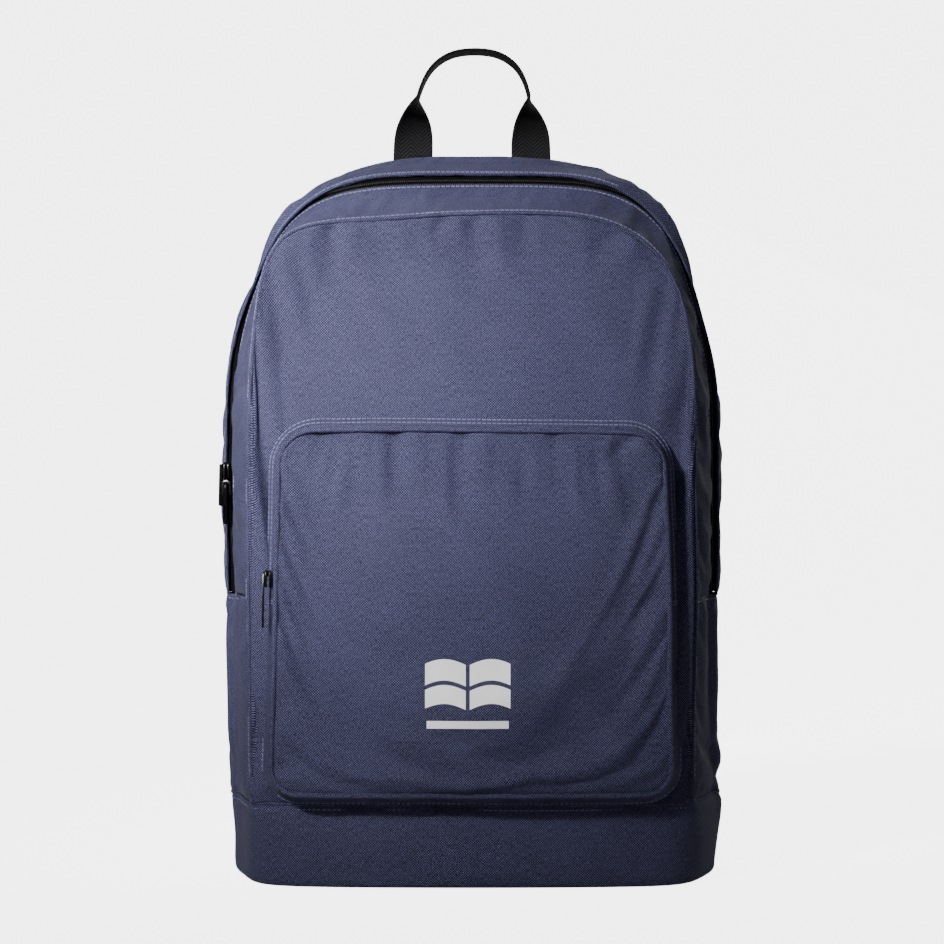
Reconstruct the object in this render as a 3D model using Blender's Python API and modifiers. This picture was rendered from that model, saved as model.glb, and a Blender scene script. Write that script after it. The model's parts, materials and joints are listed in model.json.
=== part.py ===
"""School backpack: an arched zipped main compartment, a zipped front pocket, a seamed base,
a webbing carry handle and two padded shoulder straps.

Metres, +Z up. The origin is on the floor under the middle of the base. The pocket faces -Y and
the shoulder straps are on the +Y side. "Depth" below is a share of the way from the back
panel's edge (0) to the front panel's edge (1), along the bands that join them.
"""

import math

import bmesh
import bpy
from mathutils import Matrix, Vector

# Main compartment
BAG_HEIGHT = 0.449  # floor to the top of the back panel
BACK_HALF_WIDTH = 0.150
BACK_Y = 0.064
FRONT_TOP = 0.404  # height of the front panel's top seam
FRONT_HALF_WIDTH = 0.134
FRONT_LOW_Y = -0.056  # front seam at the floor
FRONT_TOP_Y = -0.036  # front seam at its top
FRONT_CROWN = 0.012  # how far the front panel stands out at its middle
SIDE_BULGE = 0.008
TOP_BULGE = 0.003
SHOULDER_SHARE = 0.48  # share of the height where the straight sides turn into the arch
BACK_ARCH_POWER = 3.0
FRONT_ARCH_POWER = 4.7
BASE_TAPER = 0.05  # share of its width that the bag loses at the floor

# Fabric, seams and the base
FABRIC = 0.0018
GAP = 0.0003
SEAM = 0.0022  # from a piped seam to the edge of each panel
PIPING_RADIUS = 0.0016
BASE_SEAM_HEIGHT = 0.050
BASE_FILLET = 0.012
BASE_FILLET_STEPS = 4
BASE_CORNER_SOFTENING = 6  # rounds of smoothing on the base's four upright corners
BACK_PANEL_THICKNESS = 0.003
FOAM_THICKNESS = 0.006
STIFFENER_THICKNESS = 0.003
SLEEVE_HALF_WIDTH = 0.115
SLEEVE_LOW = 0.016
SLEEVE_HIGH = 0.300
SLEEVE_BOW = 0.006
SLEEVE_THICKNESS = 0.004
SLEEVE_CLEARANCE = 0.012  # from the foam to the sleeve

# Main zip
ZIP_END_HEIGHT = 0.173
ZIP_DEPTH = 0.50
ZIP_SLOT = 0.0076  # bare tape between the two bands
ZIP_STEP = 0.0050  # how far the rear band stands out past the front band
TAPE = 0.0010
TAPE_RECESS = 0.0008
FLAP_HEIGHT = 0.292  # the mouth's flap bends here
SLIDER_LENGTH = 0.0105
SLIDER_WIDTH = 0.0072
SLIDER_THICKNESS = 0.0032
SLIDER_STAND = 0.0003  # from the line between the bands' edges to the slider
SLIDERS_MEET_HEIGHT = 0.243
PULL_THICKNESS = 0.0014
PULL_WIDTH = 0.0036
PULL_LENGTH = 0.024
PULL_SPACING = 0.0046  # between the two pulls, which hang side by side

# Front pocket
POCKET_LOW = 0.057
POCKET_TOP = 0.272
POCKET_LOW_HALF_WIDTH = 0.118
POCKET_TOP_HALF_WIDTH = 0.1145
POCKET_TOP_RADIUS = 0.022
POCKET_LOW_RADIUS = 0.016
POCKET_DEPTH = 0.020
POCKET_CROWN = 0.008
POCKET_FLARE = 0.007  # how far the pocket's bands spread where they meet the front panel
POCKET_ZIP_HEIGHT = 0.172
POCKET_ZIP_SLOT = 0.0050
POCKET_SLIDER_HEIGHT = 0.184
POCKET_PULL_LENGTH = 0.031
POCKET_PULL_WIDTH = 0.0050

# Webbing, handle and straps
WEBBING_WIDTH = 0.025
WEBBING_THICKNESS = 0.0017
HANDLE_HALF_SPAN = 0.0375
HANDLE_RISE = 0.0665
HANDLE_STAND = 0.0014  # lets the handle's feet turn above the back panel
HANDLE_TWIST_SHARE = 0.55  # share of the rise where the webbing stands edge on
HANDLE_SHAPE = (  # inset from the half span, share of the rise
    (0.0, 0.0),
    (0.0010, 0.30),
    (0.0045, 0.58),
    (0.0130, 0.82),
    (0.0245, 0.96),
)
STRAP_WIDTH = 0.062
STRAP_END_WIDTH = 0.038
STRAP_THICKNESS = 0.010
STRAP_TAPER_START = 0.72  # share of the strap where it starts to narrow
STRAP_TOP_SHARE = 0.15
STRAP_TOP_NARROWING = 0.012
STRAP_ROUTE = (  # across, out from the back panel, below the yoke
    (0.046, 0.014, -0.006),
    (0.050, 0.027, 0.006),
    (0.056, 0.036, 0.045),
    (0.064, 0.040, 0.100),
    (0.075, 0.036, 0.160),
    (0.088, 0.026, 0.212),
)
YOKE_HEIGHT = 0.385
YOKE_HALF_WIDTH = 0.090
YOKE_ABOVE = 0.012
YOKE_BELOW = 0.022
YOKE_THICKNESS = 0.002
BUCKLE_WIDTH = 0.034
BUCKLE_BAR = 0.0035
BUCKLE_SLOT = 0.0062
BUCKLE_THICKNESS = 0.0035
BUCKLE_DROP = 0.012  # from the strap's end to the buckle's top bar
LOOP_THICKNESS = 0.0012
TAIL_LENGTH = 0.095  # webbing that hangs below the buckle
TAB_THICKNESS = 0.002
TAB_REACH = 0.008
ANCHOR_X = 0.126
ANCHOR_HEIGHT = 0.070
ANCHOR_STAND = 0.0030  # lets the webbing's end turn above its tab
TAB_INNER_MARGIN = 0.002  # tab past the webbing at its narrow end
TAB_OUTER_MARGIN = 0.012

INDIGO = (0.070, 0.078, 0.155)
BLACK = (0.006, 0.006, 0.007)
FOAM_GREY = (0.20, 0.20, 0.21)
CORE = Vector((0.0, 0.0, 0.2))  # a point inside the bag, which outward faces look away from


def mix(low, high, share):
    return low + (high - low) * share


def hump(share):
    """0 at both ends and 1 in the middle."""
    return 4.0 * share * (1.0 - share)


# --- shape of the main compartment ---


def rim(depth):
    """Half width, top and arch power of the outline at one depth."""
    start = ZIP_DEPTH - ZIP_SLOT / 2 / (BACK_Y - FRONT_LOW_Y)
    past = min(max((depth - start) / (2.0 * (ZIP_DEPTH - start)), 0.0), 1.0)
    fading = hump(depth) * ZIP_STEP * (0.5 - past)
    half = mix(BACK_HALF_WIDTH, FRONT_HALF_WIDTH, depth) + SIDE_BULGE * hump(depth) + fading
    top = mix(BAG_HEIGHT, FRONT_TOP, depth) + TOP_BULGE * hump(depth) + fading
    return half, top, mix(BACK_ARCH_POWER, FRONT_ARCH_POWER, depth)


def half_width(depth, height, inset=0.0):
    """Half the width of the outline at a height."""
    half, top, power = rim(depth)
    half -= inset
    top -= inset
    shoulder = SHOULDER_SHARE * top
    if height <= shoulder:
        return half * (1.0 - BASE_TAPER * (1.0 - height / shoulder) ** 2)
    rise = min((height - shoulder) / (top - shoulder), 1.0)
    return half * (1.0 - rise**power) ** (1.0 / power)


def arch_top(depth, across, inset=0.0):
    """Height of the outline's arch at a share of the half width."""
    _, top, power = rim(depth)
    top -= inset
    shoulder = SHOULDER_SHARE * top
    return shoulder + (top - shoulder) * (1.0 - min(abs(across), 1.0) ** power) ** (1.0 / power)


def seam_y(height):
    """Y of the front seam at a height: the front leans back towards its top."""
    share = min(height / FRONT_TOP, 1.0)
    return mix(FRONT_LOW_Y, FRONT_TOP_Y, share * share)


def rim_y(depth, height):
    return mix(BACK_Y, seam_y(height), depth)


def front_y(x, height):
    """Y of the front panel's crowned face."""
    across = min(abs(x) / FRONT_HALF_WIDTH, 1.0)
    up = min(max(height / FRONT_TOP, 0.0), 1.0)
    return seam_y(height) - FRONT_CROWN * (1.0 - across**2.6) * (1.0 - up**6)


def evenly(points, count):
    """The same path with its points evenly spaced."""
    lengths = [0.0]
    for first, second in zip(points, points[1:]):
        lengths.append(lengths[-1] + (second - first).length)
    spaced = []
    index = 0
    for step in range(count):
        along = lengths[-1] * step / (count - 1)
        while index < len(points) - 2 and lengths[index + 1] < along:
            index += 1
        share = (along - lengths[index]) / (lengths[index + 1] - lengths[index])
        spaced.append(points[index].lerp(points[index + 1], share))
    return spaced


def arch_path(depth, low, count, inset=0.0):
    """Points from a height on the right side, over the top, to the same height on the left."""
    fine = 160
    half, top, _ = rim(depth)
    high = arch_top(depth, 0.9)
    right = []
    for step in range(fine):
        height = mix(low, high, step / fine)
        right.append(Vector((half_width(depth, height, inset), 0.0, height)))
    cross = right[-1].x / (half - inset)
    for step in range(1, fine + 1):
        across = cross * (1.0 - step / fine)
        right.append(Vector((across * (half - inset), 0.0, arch_top(depth, across, inset))))
    side = evenly(right, count)
    whole = side + [Vector((-point.x, 0.0, point.z)) for point in reversed(side[:-1])]
    return [Vector((point.x, rim_y(depth, point.z), point.z)) for point in whole]


def side_path(depth, low, high, count, side, inset=0.0):
    """Points up one side of the outline; side is 1 on the right and -1 on the left."""
    points = []
    for step in range(count):
        height = mix(low, high, step / (count - 1))
        points.append(Vector((side * half_width(depth, height, inset), rim_y(depth, height), height)))
    return points


def depth_steps(first, last, count):
    return [mix(first, last, step / (count - 1)) for step in range(count)]


# --- building blocks ---


def material(name, color, roughness, metallic=0.0):
    found = bpy.data.materials.get(name)
    if found:
        return found
    made = bpy.data.materials.new(name)
    made.use_nodes = True
    shader = made.node_tree.nodes["Principled BSDF"]
    shader.inputs["Base Color"].default_value = (*color, 1.0)
    shader.inputs["Roughness"].default_value = roughness
    shader.inputs["Metallic"].default_value = metallic
    return made


def indigo_cloth():
    return material("indigo_cloth", INDIGO, 0.8)


def black_webbing():
    return material("black_webbing", BLACK, 0.75)


def black_tape():
    return material("black_tape", BLACK, 0.6)


def black_metal():
    return material("black_metal", BLACK, 0.3, 0.6)


def black_plastic():
    return material("black_plastic", BLACK, 0.4)


def grey_foam():
    return material("grey_foam", FOAM_GREY, 0.9)


def place(name, data, finish, parent=None):
    """An object in the bag's collection. With a parent, its points are read from the parent."""
    made = bpy.data.objects.new(name, data)
    data.materials.append(finish)
    parts.objects.link(made)
    made.parent = parent
    return made


def pivot(name, at):
    """An empty on a joint's axis."""
    made = bpy.data.objects.new(name, None)
    made.location = at
    made.empty_display_size = 0.02
    parts.objects.link(made)
    return made


def face_outwards(mesh, core):
    """Turns an open sheet so that its faces look away from a point."""
    facing = sum((face.calc_center_median() - core).dot(face.normal) for face in mesh.faces)
    if facing < 0.0:
        bmesh.ops.reverse_faces(mesh, faces=mesh.faces[:])


def sheet(name, rows, thickness, finish, closed=False, capped=False, core=CORE, offset=-1.0):
    """Fabric through rows of points, thickened inwards. closed joins each row's ends, and
    capped fills the last row with one flat face."""
    mesh = bmesh.new()
    grid = [[mesh.verts.new(point) for point in row] for row in rows]
    for lower, upper in zip(grid, grid[1:]):
        pairs = list(zip(lower, upper))
        if closed:
            pairs.append(pairs[0])
        for (low_a, high_a), (low_b, high_b) in zip(pairs, pairs[1:]):
            mesh.faces.new((low_a, low_b, high_b, high_a))
    if capped:
        mesh.faces.new(grid[-1])
    mesh.normal_update()
    face_outwards(mesh, core)
    data = bpy.data.meshes.new(name)
    mesh.to_mesh(data)
    mesh.free()
    made = place(name, data, finish)
    solid = made.modifiers.new("thickness", "SOLIDIFY")
    solid.thickness = thickness
    solid.offset = offset
    solid.use_even_offset = True
    data.shade_smooth()
    return made


def tube(name, points, radius, finish):
    """A thin round tube along a path."""
    data = bpy.data.curves.new(name, "CURVE")
    data.dimensions = "3D"
    data.bevel_depth = radius
    data.bevel_resolution = 1
    data.use_fill_caps = True
    spline = data.splines.new("POLY")
    spline.points.add(len(points) - 1)
    for target, point in zip(spline.points, points):
        target.co = (*point, 1.0)
    return place(name, data, finish)


def block(name, size, at, finish, parent=None, bevel=0.0006):
    """A box with slightly rounded edges, its middle at a point."""
    mesh = bmesh.new()
    bmesh.ops.create_cube(mesh, size=1.0)
    bmesh.ops.scale(mesh, vec=size, verts=mesh.verts[:])
    bmesh.ops.translate(mesh, vec=at, verts=mesh.verts[:])
    data = bpy.data.meshes.new(name)
    mesh.to_mesh(data)
    mesh.free()
    made = place(name, data, finish, parent)
    rounding = made.modifiers.new("edges", "BEVEL")
    rounding.width = bevel
    rounding.segments = 2
    return made


def smooth_path(points, count):
    """A smooth curve through a few points, evenly spaced."""
    fine = 16
    padded = [points[0] * 2 - points[1], *points, points[-1] * 2 - points[-2]]
    path = []
    for before, start, end, after in zip(padded, padded[1:], padded[2:], padded[3:]):
        for step in range(fine):
            share = step / fine
            bend_in = (end - before) * 0.5
            bend_out = (after - start) * 0.5
            path.append(
                start
                + bend_in * share
                + (3 * (end - start) - 2 * bend_in - bend_out) * share**2
                + (2 * (start - end) + bend_in + bend_out) * share**3
            )
    path.append(points[-1])
    return evenly(path, count)


def ribbon(name, path, across, widths, thickness, finish, columns=2):
    """A flat strap along a path; across gives the direction of its width at each point."""
    rows = []
    for point, side, width in zip(path, across, widths):
        rows.append([point + side * width * (step / (columns - 1) - 0.5) for step in range(columns)])
    return sheet(name, rows, thickness, finish, offset=0.0)


# --- main compartment ---


def zip_gap_depths():
    """Depths where the rear band ends and the front band starts."""
    run = BACK_Y - FRONT_LOW_Y
    return ZIP_DEPTH - ZIP_SLOT / 2 / run, ZIP_DEPTH + ZIP_SLOT / 2 / run


def seam_depth():
    """Depth where a band ends beside the piping of the front seam."""
    return 1.0 - SEAM / (BACK_Y - FRONT_LOW_Y)


def back_gap_depth():
    """Depth where a band starts, so that its sloping thickness stays off the back panel."""
    run = BACK_Y - FRONT_LOW_Y
    slope = math.atan2(BAG_HEIGHT - FRONT_TOP, run)
    return (GAP + FABRIC * math.sin(slope)) / run


def panel_rows(low, high, depth, inset, face, columns=10, count=8):
    """Rows of a panel that fills the outline between two heights, under the arch."""
    half = rim(depth)[0] - inset
    rows = []
    for step in range(count):
        row = []
        for column in range(-columns, columns + 1):
            share = abs(column) / columns
            across = math.copysign(1.0 - (1.0 - share) ** 1.8, column)
            top = min(high, arch_top(depth, across, inset))
            height = mix(low, max(top, low), step / (count - 1))
            taper = half_width(depth, min(height, SHOULDER_SHARE * rim(depth)[1]), inset) / half
            x = across * half * taper
            row.append(Vector((x, face(x, height), height)))
        rows.append(row)
    return rows


def make_back():
    low = BASE_SEAM_HEIGHT + GAP
    outer = BACK_Y + GAP + BACK_PANEL_THICKNESS
    rows = panel_rows(low, BAG_HEIGHT, 0.0, 0.0, lambda x, height: outer)
    sheet("back_panel", rows, BACK_PANEL_THICKNESS, indigo_cloth())
    inset = FABRIC + 4 * GAP
    outer = BACK_Y - GAP
    low = BASE_SEAM_HEIGHT + inset
    rows = panel_rows(low, BAG_HEIGHT, 0.0, 4 * inset, lambda x, height: outer)
    sheet("back_foam", rows, FOAM_THICKNESS, grey_foam())
    sleeve_y = BACK_Y - FOAM_THICKNESS - SLEEVE_CLEARANCE
    rows = []
    for step in range(6):
        height = mix(SLEEVE_LOW, SLEEVE_HIGH, step / 5)
        bow = SLEEVE_BOW * hump(step / 5)
        rows.append([])
        for share in (-1.0, -0.5, 0.0, 0.5, 1.0):
            y = sleeve_y - bow * (1 - share**2)
            rows[-1].append(Vector((SLEEVE_HALF_WIDTH * share, y, height)))
    sheet("laptop_sleeve", rows, SLEEVE_THICKNESS, indigo_cloth())


def make_bands():
    rear_end, front_start = zip_gap_depths()
    rows = [arch_path(depth, ZIP_END_HEIGHT, 26) for depth in depth_steps(back_gap_depth(), rear_end, 4)]
    sheet("rear_band", rows, FABRIC, indigo_cloth())
    front = depth_steps(front_start, seam_depth(), 4)
    rows = [arch_path(depth, FLAP_HEIGHT + GAP, 20) for depth in front]
    sheet("front_band_upper", rows, FABRIC, indigo_cloth())
    for label, side in (("left", -1), ("right", 1)):
        low = ZIP_END_HEIGHT
        rows = [side_path(depth, low, FLAP_HEIGHT, 6, side) for depth in front]
        sheet(f"front_band_{label}", rows, FABRIC, indigo_cloth())
        low = BASE_SEAM_HEIGHT + GAP
        whole = depth_steps(back_gap_depth(), seam_depth(), 8)
        rows = [side_path(depth, low, ZIP_END_HEIGHT - GAP, 6, side) for depth in whole]
        sheet(f"side_panel_{label}", rows, FABRIC, indigo_cloth())


def make_front():
    low = BASE_SEAM_HEIGHT + GAP
    rows = panel_rows(low, FLAP_HEIGHT, 1.0, SEAM, front_y)
    sheet("front_panel_lower", rows, FABRIC, indigo_cloth())
    rows = panel_rows(FLAP_HEIGHT + GAP, FRONT_TOP, 1.0, SEAM, front_y)
    sheet("front_panel_upper", rows, FABRIC, indigo_cloth())
    tube("front_piping_upper", arch_path(1.0, FLAP_HEIGHT + GAP, 24), PIPING_RADIUS, indigo_cloth())
    for label, side in (("left", -1), ("right", 1)):
        points = side_path(1.0, low, FLAP_HEIGHT, 12, side)
        tube(f"front_piping_{label}", points, PIPING_RADIUS, indigo_cloth())


def make_main_zip():
    rear_end, front_start = zip_gap_depths()
    half_gap = GAP / 2 / (BACK_Y - FRONT_LOW_Y)
    edge = (GAP + FABRIC / 2) / (BACK_Y - FRONT_LOW_Y)
    rear = depth_steps(rear_end + edge, ZIP_DEPTH - half_gap, 2)
    front = depth_steps(ZIP_DEPTH + half_gap, front_start - edge, 2)
    low = ZIP_END_HEIGHT
    rows = [arch_path(depth, low, 26, TAPE_RECESS) for depth in rear]
    sheet("main_zip_rear", rows, TAPE, black_tape())
    rows = [arch_path(depth, FLAP_HEIGHT + GAP, 20, TAPE_RECESS) for depth in front]
    sheet("main_zip_front_upper", rows, TAPE, black_tape())
    for label, side in (("left", -1), ("right", 1)):
        rows = [side_path(depth, low, FLAP_HEIGHT, 6, side, TAPE_RECESS) for depth in front]
        sheet(f"main_zip_front_{label}", rows, TAPE, black_tape())


def base_section(height, inset=0.0):
    """A closed level outline of the base: right side, front, left side and back."""
    steps = 14
    right = []
    for depth in depth_steps(0.0, 1.0, steps + 1):
        right.append(Vector((half_width(depth, height), rim_y(depth, height), height)))
    front = []
    for step in range(1, 2 * steps):
        x = mix(right[-1].x, -right[-1].x, step / (2 * steps))
        front.append(Vector((x, front_y(x, height), height)))
    left = [Vector((-point.x, point.y, height)) for point in reversed(right)]
    back = [left[-1].lerp(right[0], step / (2 * steps)) for step in range(1, 2 * steps)]
    points = right + front + left + back
    for _ in range(BASE_CORNER_SOFTENING):
        after = points[1:] + points[:1]
        before = points[-1:] + points[:-1]
        points = [(a + 2 * b + c) / 4 for a, b, c in zip(before, points, after)]
    reach_x = max(point.x for point in points)
    low_y = min(point.y for point in points)
    high_y = max(point.y for point in points)
    middle = (low_y + high_y) / 2
    shrink_x = 1.0 - inset / reach_x
    shrink_y = 1.0 - inset / ((high_y - low_y) / 2)
    return [Vector((point.x * shrink_x, mix(middle, point.y, shrink_y), height)) for point in points]


def make_base():
    rows = [base_section(BASE_SEAM_HEIGHT), base_section((BASE_SEAM_HEIGHT + BASE_FILLET) / 2)]
    for step in range(BASE_FILLET_STEPS + 1):
        turn = math.radians(90.0 * step / BASE_FILLET_STEPS)
        inset = BASE_FILLET * (1.0 - math.cos(turn))
        height = BASE_FILLET * (1.0 - math.sin(turn))
        section = base_section(BASE_FILLET, inset)
        rows.append([Vector((point.x, point.y, height)) for point in section])
    sheet("base_panel", rows, FABRIC, indigo_cloth(), closed=True, capped=True)
    inset = BASE_FILLET + FABRIC
    level = FABRIC + GAP + STIFFENER_THICKNESS
    outline = base_section(BASE_FILLET, inset)
    mesh = bmesh.new()
    corners = [mesh.verts.new((point.x, point.y, level)) for point in outline]
    mesh.faces.new(corners)
    mesh.normal_update()
    face_outwards(mesh, Vector())
    data = bpy.data.meshes.new("base_stiffener")
    mesh.to_mesh(data)
    mesh.free()
    made = place("base_stiffener", data, grey_foam())
    solid = made.modifiers.new("thickness", "SOLIDIFY")
    solid.thickness = STIFFENER_THICKNESS


# --- front pocket ---


def pocket_half(height):
    share = (height - POCKET_LOW) / (POCKET_TOP - POCKET_LOW)
    return mix(POCKET_LOW_HALF_WIDTH, POCKET_TOP_HALF_WIDTH, share)


def pocket_outline(grow=0.0):
    """The pocket's closed outline, anticlockwise from the middle of its lower edge."""
    corner_steps = 8
    edge_steps = 8
    top = POCKET_TOP + grow
    low = POCKET_LOW - grow
    half_top = POCKET_TOP_HALF_WIDTH + grow
    half_low = POCKET_LOW_HALF_WIDTH + grow
    radius_top = POCKET_TOP_RADIUS + grow
    radius_low = POCKET_LOW_RADIUS + grow
    right = []
    for step in range(edge_steps):
        right.append(Vector((mix(0.0, half_low - radius_low, step / edge_steps), 0.0, low)))
    for step in range(corner_steps + 1):
        turn = math.radians(90.0 * step / corner_steps)
        right.append(
            Vector((
                half_low - radius_low * (1 - math.sin(turn)),
                0.0,
                low + radius_low * (1 - math.cos(turn)),
            ))
        )
    for step in range(corner_steps + 1):
        turn = math.radians(90.0 * step / corner_steps)
        right.append(
            Vector((
                half_top - radius_top * (1 - math.cos(turn)),
                0.0,
                top - radius_top * (1 - math.sin(turn)),
            ))
        )
    for step in range(1, edge_steps + 1):
        right.append(Vector((mix(half_top - radius_top, 0.0, step / edge_steps), 0.0, top)))
    return right + [Vector((-point.x, 0.0, point.z)) for point in reversed(right[1:-1])]


def pocket_stretch(grow, over_top, count):
    """An open stretch of the outline: over the top between the zip's ends, or under the bottom."""
    whole = [point for point in pocket_outline(grow)]
    closed = whole + [whole[0]]
    fine = evenly(closed, 400)[:-1]
    if over_top:
        picked = [point for point in fine if point.z > POCKET_ZIP_HEIGHT]
        start = Vector((pocket_half(POCKET_ZIP_HEIGHT) + grow, 0.0, POCKET_ZIP_HEIGHT))
        end = Vector((-start.x, 0.0, start.z))
        return evenly([start, *picked, end], count)
    level = POCKET_ZIP_HEIGHT - GAP
    left = [point for point in fine if point.z < level and point.x < 0.0]
    right = [point for point in fine if point.z < level and point.x >= 0.0]
    start = Vector((-pocket_half(level) - grow, 0.0, level))
    end = Vector((-start.x, 0.0, level))
    return evenly([start, *left, *right, end], count)


def pocket_edge_y(x, height):
    """Y of the pocket's front edge, a pocket's depth in front of the front panel."""
    return front_y(x, height) - POCKET_DEPTH


def pocket_point(point, depth):
    """A point of the pocket's band: depth 0 on the front panel, 1 at the pocket's front edge."""
    near = front_y(point.x, point.z) - GAP - FABRIC
    return Vector((point.x, mix(near, pocket_edge_y(point.x, point.z), depth), point.z))


def pocket_band_rows(over_top, first, last, count, steps=3):
    rows = []
    for share in depth_steps(first, last, steps):
        stretch = pocket_stretch(POCKET_FLARE * (1.0 - share), over_top, count)
        rows.append([pocket_point(point, share) for point in stretch])
    return rows


def pocket_face_y(x, height):
    middle = (POCKET_LOW + POCKET_TOP) / 2
    across = min(abs(x) / POCKET_LOW_HALF_WIDTH, 1.0)
    up = min(abs(height - middle) / (POCKET_TOP - middle), 1.0)
    return pocket_edge_y(x, height) - POCKET_CROWN * (1 - across**3) * (1 - up**3)


def pocket_corner_rise(x, radius, half):
    """How far a rounded corner lifts the edge at x."""
    beyond = max(abs(x) - (half - radius), 0.0)
    return radius - math.sqrt(max(radius**2 - beyond**2, 0.0))


def make_pocket():
    core = Vector((0.0, -0.07, 0.165))
    depth = POCKET_DEPTH - FABRIC - GAP
    zip_start = 1.0 - (SEAM + POCKET_ZIP_SLOT) / depth
    zip_end = 1.0 - SEAM / depth
    half_gap = GAP / 2 / depth
    rows = pocket_band_rows(True, 0.0, zip_start - half_gap, 44)
    sheet("pocket_top_band", rows, FABRIC, indigo_cloth(), core=core)
    middle = (zip_start + zip_end) / 2
    rows = pocket_band_rows(True, zip_start + half_gap, middle - half_gap, 44, 2)
    sheet("pocket_zip_inner", rows, TAPE, black_tape(), core=core)
    rows = pocket_band_rows(True, middle + half_gap, zip_end, 44, 2)
    sheet("pocket_zip_outer", rows, TAPE, black_tape(), core=core)
    rows = pocket_band_rows(False, 0.0, zip_end, 40, 4)
    sheet("pocket_gusset", rows, FABRIC, indigo_cloth(), core=core)
    rows = []
    columns = 9
    steps = 9
    for step in range(steps):
        row = []
        for column in range(-columns, columns + 1):
            across = math.sin(math.pi / 2 * column / columns)
            low_x = across * (POCKET_LOW_HALF_WIDTH - SEAM)
            top_x = across * (POCKET_TOP_HALF_WIDTH - SEAM)
            low_rise = pocket_corner_rise(low_x, POCKET_LOW_RADIUS - SEAM, POCKET_LOW_HALF_WIDTH - SEAM)
            top_rise = pocket_corner_rise(top_x, POCKET_TOP_RADIUS - SEAM, POCKET_TOP_HALF_WIDTH - SEAM)
            low = POCKET_LOW + SEAM + low_rise
            top = POCKET_TOP - SEAM - top_rise
            height = mix(low, top, step / (steps - 1))
            x = across * (pocket_half(height) - SEAM)
            row.append(Vector((x, pocket_face_y(x, height), height)))
        rows.append(row)
    sheet("pocket_front", rows, FABRIC, indigo_cloth(), core=core)
    outline = evenly(pocket_outline() + pocket_outline()[:1], 72)
    loop = [Vector((point.x, pocket_edge_y(point.x, point.z), point.z)) for point in outline]
    data = bpy.data.curves.new("pocket_piping", "CURVE")
    data.dimensions = "3D"
    data.bevel_depth = PIPING_RADIUS
    data.bevel_resolution = 1
    spline = data.splines.new("POLY")
    spline.points.add(len(loop) - 2)
    for target, point in zip(spline.points, loop):
        target.co = (*point, 1.0)
    spline.use_cyclic_u = True
    place("pocket_piping", data, indigo_cloth())


# --- sliders and pulls ---


def slider_on(name, pull_name, at, out, along, pull_length, pull_width, pull_shift):
    """A slider standing on a zip, and its pull hanging from a pivot on the slider's face.
    out points away from the tape, along runs up the zip."""
    across = along.cross(out).normalized()
    centre = at + out * (SLIDER_STAND + SLIDER_THICKNESS / 2)
    carrier = pivot(f"{name}_slide", centre)
    turned = Matrix((out, across, along)).transposed().to_quaternion()
    carrier.rotation_euler = turned.to_euler()
    block(name, (SLIDER_THICKNESS, SLIDER_WIDTH, SLIDER_LENGTH), Vector(), black_metal(), carrier)
    lift = SLIDER_THICKNESS / 2 + GAP + PULL_THICKNESS / 2
    hinge_at = centre + out * lift + along * SLIDER_LENGTH * 0.2 + across * pull_shift
    hinge = pivot(f"{pull_name}_hinge", hinge_at)
    hinge.rotation_euler = turned.to_euler()
    size = (PULL_THICKNESS, pull_width, pull_length)
    block(pull_name, size, Vector((0.0, 0.0, -pull_length / 2)), black_metal(), hinge, 0.0004)


def pocket_zip_point(height):
    """Where a slider's inner face meets the left side of the pocket's zip."""
    half = pocket_half(height)
    y = pocket_edge_y(half, height) + SEAM + POCKET_ZIP_SLOT / 2
    flare = POCKET_FLARE * (SEAM + POCKET_ZIP_SLOT / 2 + SLIDER_WIDTH / 2) / POCKET_DEPTH
    return Vector((-half - flare, y, height))


def make_sliders():
    low = side_path(ZIP_DEPTH, ZIP_END_HEIGHT, FLAP_HEIGHT, 2, -1, TAPE_RECESS)
    along = (low[1] - low[0]).normalized()
    for name, pull, shift, side in (
        ("main_slider_upper", "main_pull_upper", -PULL_SPACING / 2, 1),
        ("main_slider_lower", "main_pull_lower", PULL_SPACING / 2, -1),
    ):
        height = SLIDERS_MEET_HEIGHT + side * (SLIDER_LENGTH / 2 + GAP)
        rear, front = (side_path(depth, height, height, 2, -1)[0] for depth in zip_gap_depths())
        out = (front - rear).cross(along).normalized()
        at = (rear + front) / 2
        slider_on(name, pull, at, out, along, PULL_LENGTH, PULL_WIDTH, shift)
    at = pocket_zip_point(POCKET_SLIDER_HEIGHT)
    rise = (pocket_zip_point(POCKET_TOP - POCKET_TOP_RADIUS) - at).normalized()
    out = rise.cross(Vector((0.0, 1.0, 0.0))).normalized()
    slider_on("pocket_slider", "pocket_pull", at, out, rise, POCKET_PULL_LENGTH, POCKET_PULL_WIDTH, 0.0)


# --- handle and straps ---


def make_handle():
    foot_y = BACK_Y + GAP + BACK_PANEL_THICKNESS / 2
    inner = (HANDLE_HALF_SPAN - WEBBING_WIDTH / 2) / BACK_HALF_WIDTH
    foot = arch_top(0.0, inner) + HANDLE_STAND
    rise = BAG_HEIGHT + HANDLE_RISE - foot
    half = [Vector((HANDLE_HALF_SPAN - inset, 0.0, rise * share)) for inset, share in HANDLE_SHAPE]
    half.append(Vector((0.0, 0.0, rise)))
    whole = half + [Vector((-point.x, 0.0, point.z)) for point in reversed(half[:-1])]
    path = [point + Vector((0.0, foot_y, foot)) for point in smooth_path(whole, 41)]
    across = []
    for point in path:
        climbed = (point.z - foot) / rise
        turn = math.radians(90.0) * min(climbed / HANDLE_TWIST_SHARE, 1.0) ** 1.5
        across.append(Vector((math.cos(turn), math.sin(turn), 0.0)))
    widths = [WEBBING_WIDTH] * len(path)
    made = ribbon("carry_handle", path, across, widths, WEBBING_THICKNESS, black_webbing(), 3)
    hinge = pivot("carry_handle_hinge", Vector((0.0, foot_y, foot)))
    made.parent = hinge
    made.matrix_parent_inverse = hinge.matrix_basis.inverted()


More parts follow.
